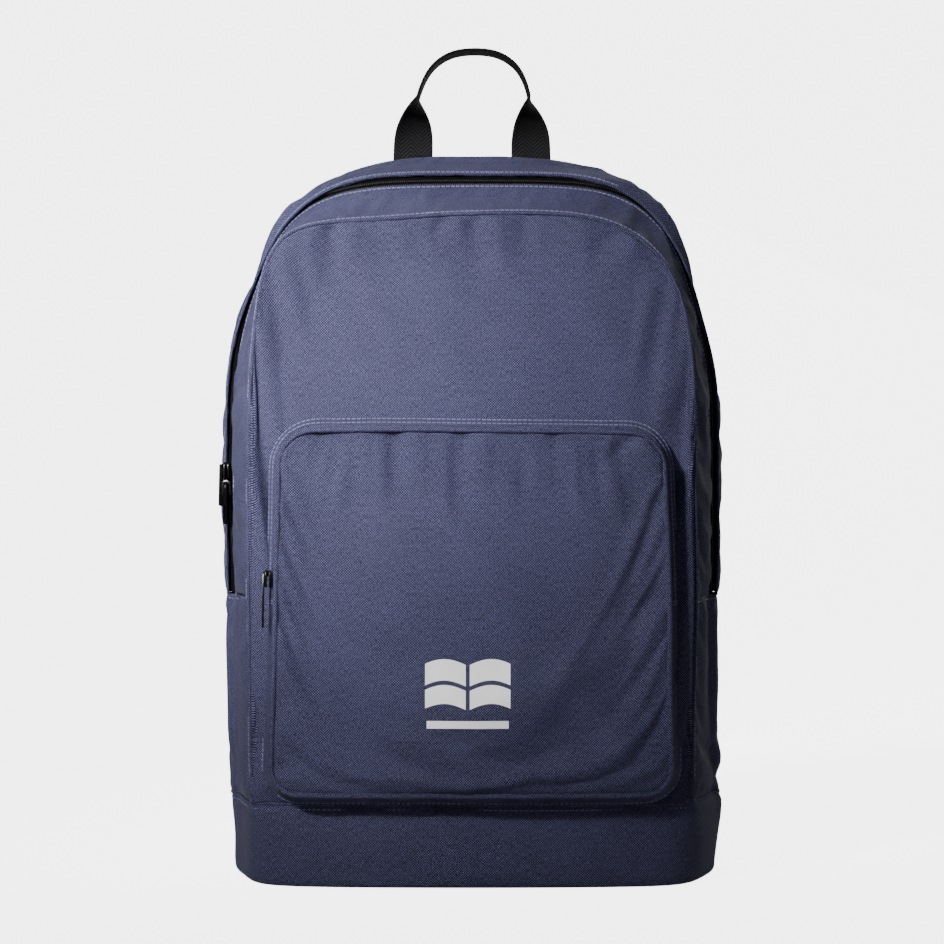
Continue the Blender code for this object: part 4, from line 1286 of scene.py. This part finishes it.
def smoothPath(points, count):
    # even points on a smooth curve through the given ones
    fine = []
    last = len(points) - 1
    for index in range(last):
        p0, p1 = points[max(index - 1, 0)], points[index]
        p2, p3 = points[index + 1], points[min(index + 2, last)]
        for step in range(24):
            t = step / 24
            ahead = (p2 - p0) * t + (2 * p0 - 5 * p1 + 4 * p2 - p3) * t * t + (3 * p1 - p0 - 3 * p2 + p3) * t**3
            fine.append(p1 + ahead * 0.5)
    return evenly(fine + [points[-1]], count)


# ---- carry handle ----
handle = {
    "halfSpan": 0.0375,
    "width": 0.025,
    "thickness": 0.0017,
    "foot": 0.0,
    "top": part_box("carry_handle")[1].z - 0.0008,
    "sunk": 0.010,
    "shape": ((0.0, 0.0), (0.0006, 0.30), (0.0026, 0.58), (0.0096, 0.82), (0.0215, 0.96)),
    "lean": 0.0018,
}


def jointOf(name):
    return next(joint for joint in frame["joints"] if joint["name"] == name)


def makeHandle():
    hinge = Vector(jointOf("handle_fold")["pos_m"])
    rise = handle["top"] - hinge.z
    half = [Vector((handle["halfSpan"] + 0.0002, 0.0, -handle["sunk"]))]
    half += [Vector((handle["halfSpan"] - inset, 0.0, rise * share)) for inset, share in handle["shape"]]
    half.append(Vector((0.0, 0.0, rise)))
    whole = half + [Vector((-point.x, 0.0, point.z)) for point in reversed(half[:-1])]
    path = smoothPath(whole, 240)
    for point in path:
        point += Vector((handle["lean"] * ease(point.z / rise), hinge.y, hinge.z))
    across = []
    for point in path:
        turn = math.pi / 2 * min(max((point.z - hinge.z) / rise, 0.0) / 0.55, 1.0) ** 1.5
        across.append(Vector((math.cos(turn), math.sin(turn), 0.0)))
    section = stripSection(handle["width"], handle["thickness"], 14)
    piece = sweepPiece("carryHandle", path, across, [section] * len(path), webbing)
    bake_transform(piece)
    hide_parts("carry_handle")


makeHandle()
print("handle made")

# ---- padded back ----
backPad = {"columns": 44, "rows": 112, "outer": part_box("back_panel")[1].y, "channel": 0.0017, "width": 0.0045,
           "spine": 0.019, "pitch": 0.062, "edge": 0.010, "fullness": 0.012, "pressure": 2.0, "cap": 0.0016}


def channelShare(x, height):
    # 1 on a sewn channel, 0 between channels
    far = abs(abs(x) - backPad["spine"])
    toTop = archTop(0.0, x / bag["backHalf"]) - height
    toEdge = min(bag["backHalf"] - abs(x), toTop, height - bag["seamHeight"])
    far = min(far, abs(toEdge - backPad["edge"]))
    if abs(x) > backPad["spine"] and toEdge > backPad["edge"]:
        lean = height - abs(x) * 0.35
        far = min(far, abs((lean - 0.075) % backPad["pitch"] - backPad["pitch"] / 2))
    return math.exp(-(far / backPad["width"]) ** 2)


def makeBackPad():
    sizes = backPad
    inner = sizes["outer"] - 0.0002
    rows = panelRows(
        bag["seamHeight"], bag["height"], 0.0, 0.0012,
        lambda x, height: inner - sizes["channel"] * channelShare(x, height), sizes["columns"], sizes["rows"], 1.2,
    )
    piece = gridPiece("backPanel", rows, spacer, core=bag["core"], flat=True)
    wide = 2 * sizes["columns"] + 1
    pins = set(gridEdges(sizes["rows"], wide))
    for index, vertex in enumerate(piece.data.vertices):
        if channelShare(vertex.co.x, vertex.co.z) > 0.8:
            pins.add(index)
    simulateCloth(piece, sorted(pins), sizes["fullness"], sizes["pressure"], sizes["cap"])
    thicken(piece, 0.0022, smooth=1)
    ride(piece, "bag", "pack_cloth", "back_panel")
    binding = archPath(0.0, bag["seamHeight"], 220, 0.0016)
    lift = Vector((0.0, sizes["outer"] - bag["backY"] - 0.0012, 0.0))
    roll = tubePiece("backBinding", [point + lift for point in binding], 0.0017, indigo, 10)
    ride(roll, "bag", "pack_cloth")
    rows = []
    for side in (-1, 1):
        line = [Vector((side * sizes["spine"], inner - 0.0007, z)) for z in steps(0.063, 0.434, 160)]
        rows.append(line)
    ride(pathRows("backStitches", rows, stitchTree, blackThread), "bag", "pack_cloth")


def makeLining():
    # foam board in its lining, the padded sleeve and its bound mouth
    low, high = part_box("back_foam")
    y = high.y
    depth = high.y - low.y
    rows = panelRows(low.z, high.z, 0.0, 0.014, lambda x, height: y, 24, 60)
    piece = gridPiece("backFoam", rows, lining, core=bag["core"], flat=True)
    displace(piece, lambda point: softFold(point, 61.0, 0.05, 0.0004) - 0.0004)
    thicken(piece, depth - 0.0008, smooth=1)
    ride(piece, "bag", "foam", "back_foam")
    low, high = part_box("laptop_sleeve")
    half = high.x
    rows = []
    for z in steps(low.z, high.z, 40):
        share = (z - low.z) / (high.z - low.z)
        bow = 0.006 * hump(share)
        rows.append([])
        for across in steps(-1.0, 1.0, 41):
            x = across * half
            y = high.y - 0.0042 - bow * (1 - across**2) + 0.0004 * noise.noise(Vector((x * 40, z * 40, 3.0)))
            rows[-1].append(Vector((x, y, z)))
    piece = gridPiece("laptopSleeve", rows, lining, core=Vector((0.0, 0.06, 0.16)), flat=True)
    thicken(piece, 0.0032, smooth=1)
    ride(piece, "bag", "foam", "laptop_sleeve")
    mouth = [point + Vector((0.0, 0.0016, 0.0)) for point in rows[-1]]
    ride(tubePiece("sleeveBinding", mouth, 0.0026, webbing, 10), "bag", "webbing")


makeBackPad()
makeLining()
print("back made")

# ---- shoulder straps ----
strap = {
    "route": ((0.046, 0.014, -0.006), (0.050, 0.027, 0.006), (0.056, 0.036, 0.045),
              (0.064, 0.040, 0.100), (0.075, 0.036, 0.160), (0.088, 0.026, 0.212)),
    "yoke": 0.385,
    "width": 0.062,
    "endWidth": 0.038,
    "thickness": 0.010,
    "taper": 0.72,
    "edge": 0.0030,
    "binding": 0.0021,
    "web": 0.025,
    "webThickness": 0.0017,
    "bar": 0.0035,
    "slot": 0.0062,
    "lockThickness": 0.0035,
    "lockWidth": 0.034,
    "drop": 0.012,
    "loop": 0.0012,
    "tail": 0.095,
    "anchor": (0.126, 0.070),
    "anchorStand": 0.0030,
}
strap["back"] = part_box("back_panel")[1].y


def strapPath(side, count):
    points = [Vector((side * x, strap["back"] + out, strap["yoke"] - below)) for x, out, below in strap["route"]]
    return smoothPath(points, count)


def strapHalf(share):
    end = max(share - strap["taper"], 0.0) / (1.0 - strap["taper"])
    top = max(1 - share / 0.15, 0.0)
    return (mix(strap["width"], strap["endWidth"], end * end) - 0.012 * top) / 2


def padSection(half, thickness, edge, cells=16):
    # crowned above and below, thin at both edges
    upper = []
    for step in range(cells + 1):
        across = -math.cos(math.pi * step / cells)
        crown = (1.0 - abs(across) ** 3.2) ** 0.75
        upper.append((across * half, edge / 2 + (thickness - edge) / 2 * crown))
    lower = [(u, -w) for u, w in reversed(upper)]
    return upper + lower


def strapAcross(path):
    sides = []
    for index in range(len(path)):
        run = (path[min(index + 1, len(path) - 1)] - path[max(index - 1, 0)]).normalized()
        sides.append(run.cross(Vector((1.0, 0.0, 0.0)).cross(run)).normalized())
    return sides


def aroundBar(bar, normal, run, thickness):
    radius = math.hypot(strap["bar"] / 2, strap["lockThickness"] / 2) + 0.0006 + thickness / 2
    turns = steps(0.0, math.pi, 13)
    return [bar + (run * math.sin(turn) - normal * math.cos(turn)) * radius for turn in turns]


def swingWith(piece, label, slot, start, end, *nodes):
    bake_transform(piece)
    if nodes:
        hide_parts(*nodes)


def refine(node, name, finish, width):
    # the frame's own shape with its edges rounded
    mesh = bmesh.new()
    mesh.from_mesh(frame["nodes"][node].data)
    bmesh.ops.remove_doubles(mesh, verts=mesh.verts[:], dist=2e-5)
    bmesh.ops.dissolve_limit(mesh, angle_limit=0.02, verts=mesh.verts[:], edges=mesh.edges[:])
    sharp = [edge for edge in mesh.edges if len(edge.link_faces) == 2 and edge.calc_face_angle() > 0.5]
    bmesh.ops.bevel(mesh, geom=sharp, offset=width, segments=3, profile=0.6, affect="EDGES", clamp_overlap=True)
    bmesh.ops.triangulate(mesh, faces=[face for face in mesh.faces if len(face.verts) > 4])
    piece = newPiece(name, mesh, finish)
    piece.data.set_sharp_from_angle(angle=0.7)
    return piece


def makeStrap(label, side):
    body = f"strap_{label}"
    path = strapPath(side, 110)
    across = strapAcross(path)
    sections = []
    for index in range(len(path)):
        share = index / (len(path) - 1)
        fade = min(1.0, 0.35 + 6.0 * share, 0.35 + 8.0 * (1.0 - share))
        thickness = strap["thickness"] * fade - 0.0012
        sections.append(padSection(strapHalf(share) - 0.0012, max(thickness, 0.0035), strap["edge"] - 0.0008))
    piece = sweepPiece(f"shoulderStrap_{label}", path, across, sections, indigo)
    simulateCloth(piece, [], 0.004, 3.0, 0.0011, frames=10)
    piece.data.materials.append(spacer)
    for polygon in piece.data.polygons:
        centre = polygon.center
        near = min(range(0, len(path), 3), key=lambda index: (path[index] - centre).length)
        run = (path[min(near + 1, len(path) - 1)] - path[max(near - 1, 0)]).normalized()
        normal = across[near].cross(run)
        if normal.y > 0.0:
            normal = -normal
        if (centre - path[near]).dot(normal) > 0.0:
            polygon.material_index = 1
    sub = piece.modifiers.new("smooth", "SUBSURF")
    sub.levels = 1
    sub.render_levels = 1
    settled(piece)
    ride(piece, body, "pack_cloth", f"shoulder_strap_{label}")
    edges = []
    stitched = []
    for edge in (-1, 1):
        line, inner = [], []
        for index, point in enumerate(path):
            half = strapHalf(index / (len(path) - 1)) - 0.0012
            run = (path[min(index + 1, len(path) - 1)] - path[max(index - 1, 0)]).normalized()
            normal = across[index].cross(run)
            if normal.y < 0.0:
                normal = -normal
            line.append(point + across[index] * edge * half)
            share = 1.0 - 0.0062 / half
            crown = (1.0 - share**3.2) ** 0.75
            fade = min(1.0, 0.35 + 6.0 * index / 109, 0.35 + 8.0 * (1.0 - index / 109))
            lift = 0.0011 + (strap["thickness"] * fade - 0.0034) / 2 * crown + 0.0007
            inner.append(point + across[index] * edge * (half - 0.0062) + normal * lift)
        edges.append(line)
        stitched.append(inner)
    for number, line in enumerate(edges):
        binding = tubePiece(f"strapBinding_{label}_{number}", line, strap["binding"], webbing, 10)
        ride(binding, body, "webbing")
    ride(pathRows(f"strapStitches_{label}", stitched, stitchTree, thread), body, "pack_cloth")
    makeStrapWebbing(label, side, path[-1], (path[-1] - path[-2]).normalized(), across[-1])


def makeStrapWebbing(label, side, end, run, across):
    normal = across.cross(run).normalized()
    if normal.y < 0.0:
        normal = -normal
    body = f"strap_{label}"
    topBar = end + run * strap["drop"]
    bend = aroundBar(topBar, normal, run, strap["loop"])
    sideStep = bend[0] - topBar
    path = smoothPath([end - run * 0.004 + sideStep * 0.4, end + run * 0.0012 + sideStep, *bend,
                       end + run * 0.0012 - sideStep, end - run * 0.004 - sideStep * 0.4], 60)
    piece = sweepPiece(f"buckleLoop_{label}", path, across, [stripSection(strap["web"], strap["loop"])] * 60, webbing)
    ride(piece, body, "webbing", f"buckle_loop_{label}")
    piece = refine(f"ladder_lock_{label}", f"ladderLock_{label}", nylon, 0.0007)
    ride(piece, body, "buckle", f"ladder_lock_{label}")
    lowBar = topBar + run * 2 * (strap["bar"] + strap["slot"])
    bend = aroundBar(lowBar, normal, -run, strap["webThickness"])
    stand = strap["back"] + 0.0006 + 0.002 + strap["webThickness"] / 2 + strap["anchorStand"]
    anchor = Vector((side * strap["anchor"][0], stand, strap["anchor"][1]))
    sewn = Vector((anchor.x + side * 0.009, strap["back"] + 0.0036, anchor.z - 0.004))
    tailEnd = bend[-1] + Vector((0.0, 0.0, -strap["tail"]))
    route = [sewn, anchor, anchor.lerp(bend[0], 0.35), anchor.lerp(bend[0], 0.7), *bend,
             bend[-1] + run * 0.012 + normal * 0.0008, bend[-1].lerp(tailEnd, 0.5) + normal * 0.002, tailEnd]
    path = smoothPath(route, 260)
    section = stripSection(strap["web"], strap["webThickness"])
    piece = sweepPiece(f"strapWebbing_{label}", path, across, [section] * len(path), webbing)
    up = (bend[0] - anchor).normalized()
    swingWith(piece, label, "webbing", anchor + up * 0.002, anchor + up * 0.045, f"strap_webbing_{label}")
    makeTab(label, side, anchor)


def makeTab(label, side, anchor):
    y = strap["back"] + 0.0009
    edge = halfWidth(0.0, anchor.z) - 0.0008
    inner = abs(anchor.x) - 0.008
    rows = []
    for share in steps(0.0, 1.0, 12):
        x = mix(inner, edge, share)
        half = strap["web"] / 2 + mix(0.002, 0.012, share)
        lift = 0.0009 + 0.0007 * hump(share)
        rows.append([Vector((side * x, y + lift * (1 - abs(up) ** 6), anchor.z + half * up)) for up in steps(-1.0, 1.0, 25)])
    piece = gridPiece(f"strapTab_{label}", rows, indigo, core=bag["core"], flat=True)
    thicken(piece, 0.0011, smooth=1)
    ride(piece, "bag", "pack_cloth", f"strap_tab_{label}")
    lines = []
    for inset in (0.0022, 0.0052):
        line = []
        for share in steps(0.05, 0.95, 20):
            half = strap["web"] / 2 + mix(0.002, 0.012, share) - inset
            line.append(Vector((side * mix(inner, edge, share), y + 0.0016, anchor.z + half)))
        lines.append(line)
        lines.append([Vector((p.x, p.y, 2 * anchor.z - p.z)) for p in line])
    lines.append([Vector((side * (inner + 0.002), y + 0.0014, anchor.z + 0.0125 * up)) for up in steps(-1.0, 1.0, 16)])
    ride(pathRows(f"tabStitches_{label}", lines, stitchTree, thread), "bag", "pack_cloth")


def makeYoke():
    low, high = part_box("yoke_patch")
    rows = []
    for z in steps(low.z, high.z, 18):
        rows.append([])
        for x in steps(low.x, high.x, 90):
            inset = min(z - low.z, high.z - z, x - low.x, high.x - x)
            rows[-1].append(Vector((x, high.y - 0.0004 - 0.0008 * math.exp(-inset / 0.0012), z)))
    piece = gridPiece("yokePatch", rows, webbing, core=bag["core"], flat=True)
    thicken(piece, 0.0013, smooth=1)
    ride(piece, "bag", "webbing", "yoke_patch")
    y = high.y - 0.0002
    lines = [[Vector((x, y, z)) for x in steps(low.x + 0.003, high.x - 0.003, 90)] for z in (low.z + 0.003, high.z - 0.003)]
    for side in (-1, 1):
        x0, x1 = side * 0.028, side * 0.066
        lines.append([Vector((mix(x0, x1, t), y, mix(low.z + 0.004, high.z - 0.004, t))) for t in steps(0, 1, 24)])
        lines.append([Vector((mix(x1, x0, t), y, mix(low.z + 0.004, high.z - 0.004, t))) for t in steps(0, 1, 24)])
    ride(pathRows("yokeStitches", lines, stitchTree, thread), "bag", "webbing")


makeYoke()
for label, side in (("left", -1), ("right", 1)):
    makeStrap(label, side)
print("straps made")

# ---- zip sliders and pulls ----
slider = {"length": 0.0105, "width": 0.0072, "plate": 0.0011, "gap": 0.0013}


def outlinePlate(mesh, outline, thickness, place, holes=()):
    # a flat plate with an outline, and slots as closed rings inside it
    rings = [outline, *holes]
    edges = []
    for ring in rings:
        verts = [mesh.verts.new(place(u, v, 0.0)) for u, v in ring]
        edges += [mesh.edges.new((verts[i], verts[(i + 1) % len(verts)])) for i in range(len(verts))]
    made = bmesh.ops.triangle_fill(mesh, edges=edges, use_beauty=True)
    faces = [item for item in made["geom"] if isinstance(item, bmesh.types.BMFace)]
    moved = bmesh.ops.extrude_face_region(mesh, geom=faces)
    lift = place(0.0, 0.0, thickness) - place(0.0, 0.0, 0.0)
    bmesh.ops.translate(mesh, vec=lift, verts=[item for item in moved["geom"] if isinstance(item, bmesh.types.BMVert)])


def finishMetal(name, mesh, finish, width=0.0003):
    bmesh.ops.recalc_face_normals(mesh, faces=mesh.faces[:])
    bmesh.ops.dissolve_limit(mesh, angle_limit=0.01, verts=mesh.verts[:], edges=mesh.edges[:])
    sharp = [edge for edge in mesh.edges if len(edge.link_faces) == 2 and edge.calc_face_angle() > 0.6]
    bmesh.ops.bevel(mesh, geom=sharp, offset=width, segments=2, profile=0.6, affect="EDGES", clamp_overlap=True)
    bmesh.ops.triangulate(mesh, faces=[face for face in mesh.faces if len(face.verts) > 4])
    piece = newPiece(name, mesh, finish)
    piece.data.set_sharp_from_angle(angle=0.8)
    return piece


def roundOutline(halfWide, low, high, lowHalf=None, count=7):
    # rounded outline, narrower at its low end if lowHalf is given
    lowHalf = lowHalf or halfWide
    points = []
    for turn in steps(0.0, math.pi, count):
        points.append((lowHalf * -math.cos(turn), low + lowHalf * 0.6 * (1.0 - math.sin(turn))))
    for turn in steps(0.0, math.pi, count):
        points.append((halfWide * math.cos(turn), high - halfWide * 0.6 * (1.0 - math.sin(turn))))
    return points


def makeSlider(label, sliderNode, pullNode, sliderBody, pullBody, runJoint, swingJoint, pullHalf):
    along = Vector(jointOf(runJoint)["axis"]).normalized()
    across = Vector(jointOf(swingJoint)["axis"]).normalized()
    hinge = Vector(jointOf(swingJoint)["pos_m"])
    low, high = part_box(sliderNode)
    centre = (low + high) / 2
    out = (hinge - centre)
    out = (out - along * out.dot(along)).normalized()
    side = along.cross(out).normalized()
    length, width = slider["length"], slider["width"]

    def place(u, v, w):
        return centre + side * u + along * v + out * w

    mesh = bmesh.new()
    outline = roundOutline(width / 2, -length / 2, length / 2, width * 0.36)
    for base in (-slider["gap"] / 2 - slider["plate"], slider["gap"] / 2):
        outlinePlate(mesh, outline, slider["plate"], lambda u, v, w, base=base: place(u, v, w + base))
    outlinePlate(mesh, roundOutline(width * 0.16, length * 0.12, length * 0.46), slider["gap"] + 0.0002,
                 lambda u, v, w: place(u, v, w - slider["gap"] / 2 - 0.0001))
    body = finishMetal(f"{label}Slider", mesh, enamel)
    ride(body, sliderBody, "zip_metal", sliderNode)
    bridge = []
    reach = (hinge - centre).dot(out)
    for turn in steps(0.0, math.pi, 16):
        bridge.append(place(0.0, -math.cos(turn) * length * 0.36, slider["gap"] / 2 + slider["plate"] * 0.6 + math.sin(turn) * (reach - 0.0011)))
    ride(tubePiece(f"{label}Bridge", bridge, 0.00075, enamel, 10), sliderBody, "zip_metal")
    verts = [vertex.co for vertex in frame["nodes"][pullNode].data.vertices]
    middle = sum(verts, Vector()) / len(verts)
    hang = middle - hinge
    hang = (hang - across * hang.dot(across)).normalized()
    reach = max((point - hinge).dot(hang) for point in verts)
    shift = across * (middle - hinge).dot(across)
    face = across.cross(hang).normalized()

    def hung(u, v, w):
        return hinge + shift + across * u + hang * v + face * (w - 0.0006)

    mesh = bmesh.new()
    eye = [(math.cos(t) * pullHalf * 0.45, 0.0 + math.sin(t) * 0.0011) for t in steps(0.0, 2 * math.pi, 13)[:-1]]
    grip = [(u, v) for u, v in roundOutline(pullHalf * 0.42, reach * 0.52, reach * 0.88)]
    outlinePlate(mesh, roundOutline(pullHalf, -0.0021, reach, pullHalf * 0.78), 0.0012, hung, (eye, grip))
    pull = finishMetal(f"{label}Pull", mesh, enamel, 0.00025)
    ride(pull, pullBody, "zip_metal", pullNode)


makeSlider("mainUpper", "main_slider_upper", "main_pull_upper", "upper_slider", "upper_pull",
           "upper_slider_run", "upper_pull_swing", 0.0018)
makeSlider("mainLower", "main_slider_lower", "main_pull_lower", "lower_slider", "lower_pull",
           "lower_slider_run", "lower_pull_swing", 0.0018)
makeSlider("pocket", "pocket_slider", "pocket_pull", "pocket_slider", "pocket_pull",
           "pocket_slider_run", "pocket_pull_swing", 0.0025)
print("sliders made")

# ---- floor, backdrop and light ----
studio = {"floor": 6.0, "pale": rgb(243, 243, 244), "glow": 4.6}


def makeStudio():
    values = {"Roughness": 0.9, "Specular IOR Level": 0.1, "Emission Strength": studio["glow"]}
    finish, graph, shader = newFinish("paleFloor", values)
    solid = graph.node("ShaderNodeTexCoord", None, None, 3)
    # the glow is seen but lights nothing, so that the object keeps its shading
    seen = graph.node("ShaderNodeLightPath")
    feed(graph, shader, "Emission Color", graph.mixColor(seen, rgb(0, 0, 0), rgb(255, 255, 255)))
    tone = graph.noise(solid, 3.0, 2.0)
    feed(graph, shader, "Base Color", graph.mixColor(tone * 0.04, studio["pale"], rgb(236, 236, 238)))
    mesh = bmesh.new()
    half = studio["floor"]
    profile = [(-half, 0.0), (1.2, 0.0)]
    for turn in steps(0.0, math.pi / 2, 14)[1:]:
        profile.append((1.2 + 1.2 * math.sin(turn), 1.2 - 1.2 * math.cos(turn)))
    profile.append((2.4, 5.0))
    rows = [[mesh.verts.new((x, y, z - 0.0005)) for x in (-half, half)] for y, z in profile]
    for lower, upper in zip(rows, rows[1:]):
        mesh.faces.new((lower[0], lower[1], upper[1], upper[0]))
    floor = newPiece("studioFloor", mesh, finish)
    world = bpy.data.worlds.new("studio")
    world.use_nodes = True
    background = world.node_tree.nodes["Background"]
    background.inputs[0].default_value = (0.93, 0.94, 0.96, 1.0)
    background.inputs[1].default_value = 0.12
    scene.world = world
    lights = (
        ("key", (-0.85, -1.40, 1.05), 0.32, 2.1, 21.0),
        ("fill", (0.7, -1.9, 0.45), 0.8, 1.7, 180.0),
        ("top", (-0.3, -0.2, 2.2), 1.2, 3.0, 180.0),
        ("rear", (0.7, 2.0, 0.9), 1.4, 12.0, 180.0),
    )
    for name, at, size, power, spread in lights:
        data = bpy.data.lights.new(name, "AREA")
        data.size = size
        data.energy = power
        data.spread = math.radians(spread)
        lamp = bpy.data.objects.new(name, data)
        lamp.location = at
        lamp.visible_camera = False
        aim = Vector((-0.15, -0.05, 0.36))
        lamp.rotation_euler = (aim - Vector(at)).to_track_quat("-Z", "Y").to_euler()
        scene.collection.objects.link(lamp)


makeStudio()
print("studio ready")

for name, node in frame["nodes"].items():
    if node.hide_render:
        continue
    finishes = {"webbing": webbing, "zip_metal": enamel, "buckle": nylon, "foam": foam, "pack_cloth": indigo}
    slot = next(part["material_slot"] for part in frame["record"]["subparts"] if part["node"] == name)
    node.data.materials.clear()
    node.data.materials.append(finishes.get(slot, zipTape))
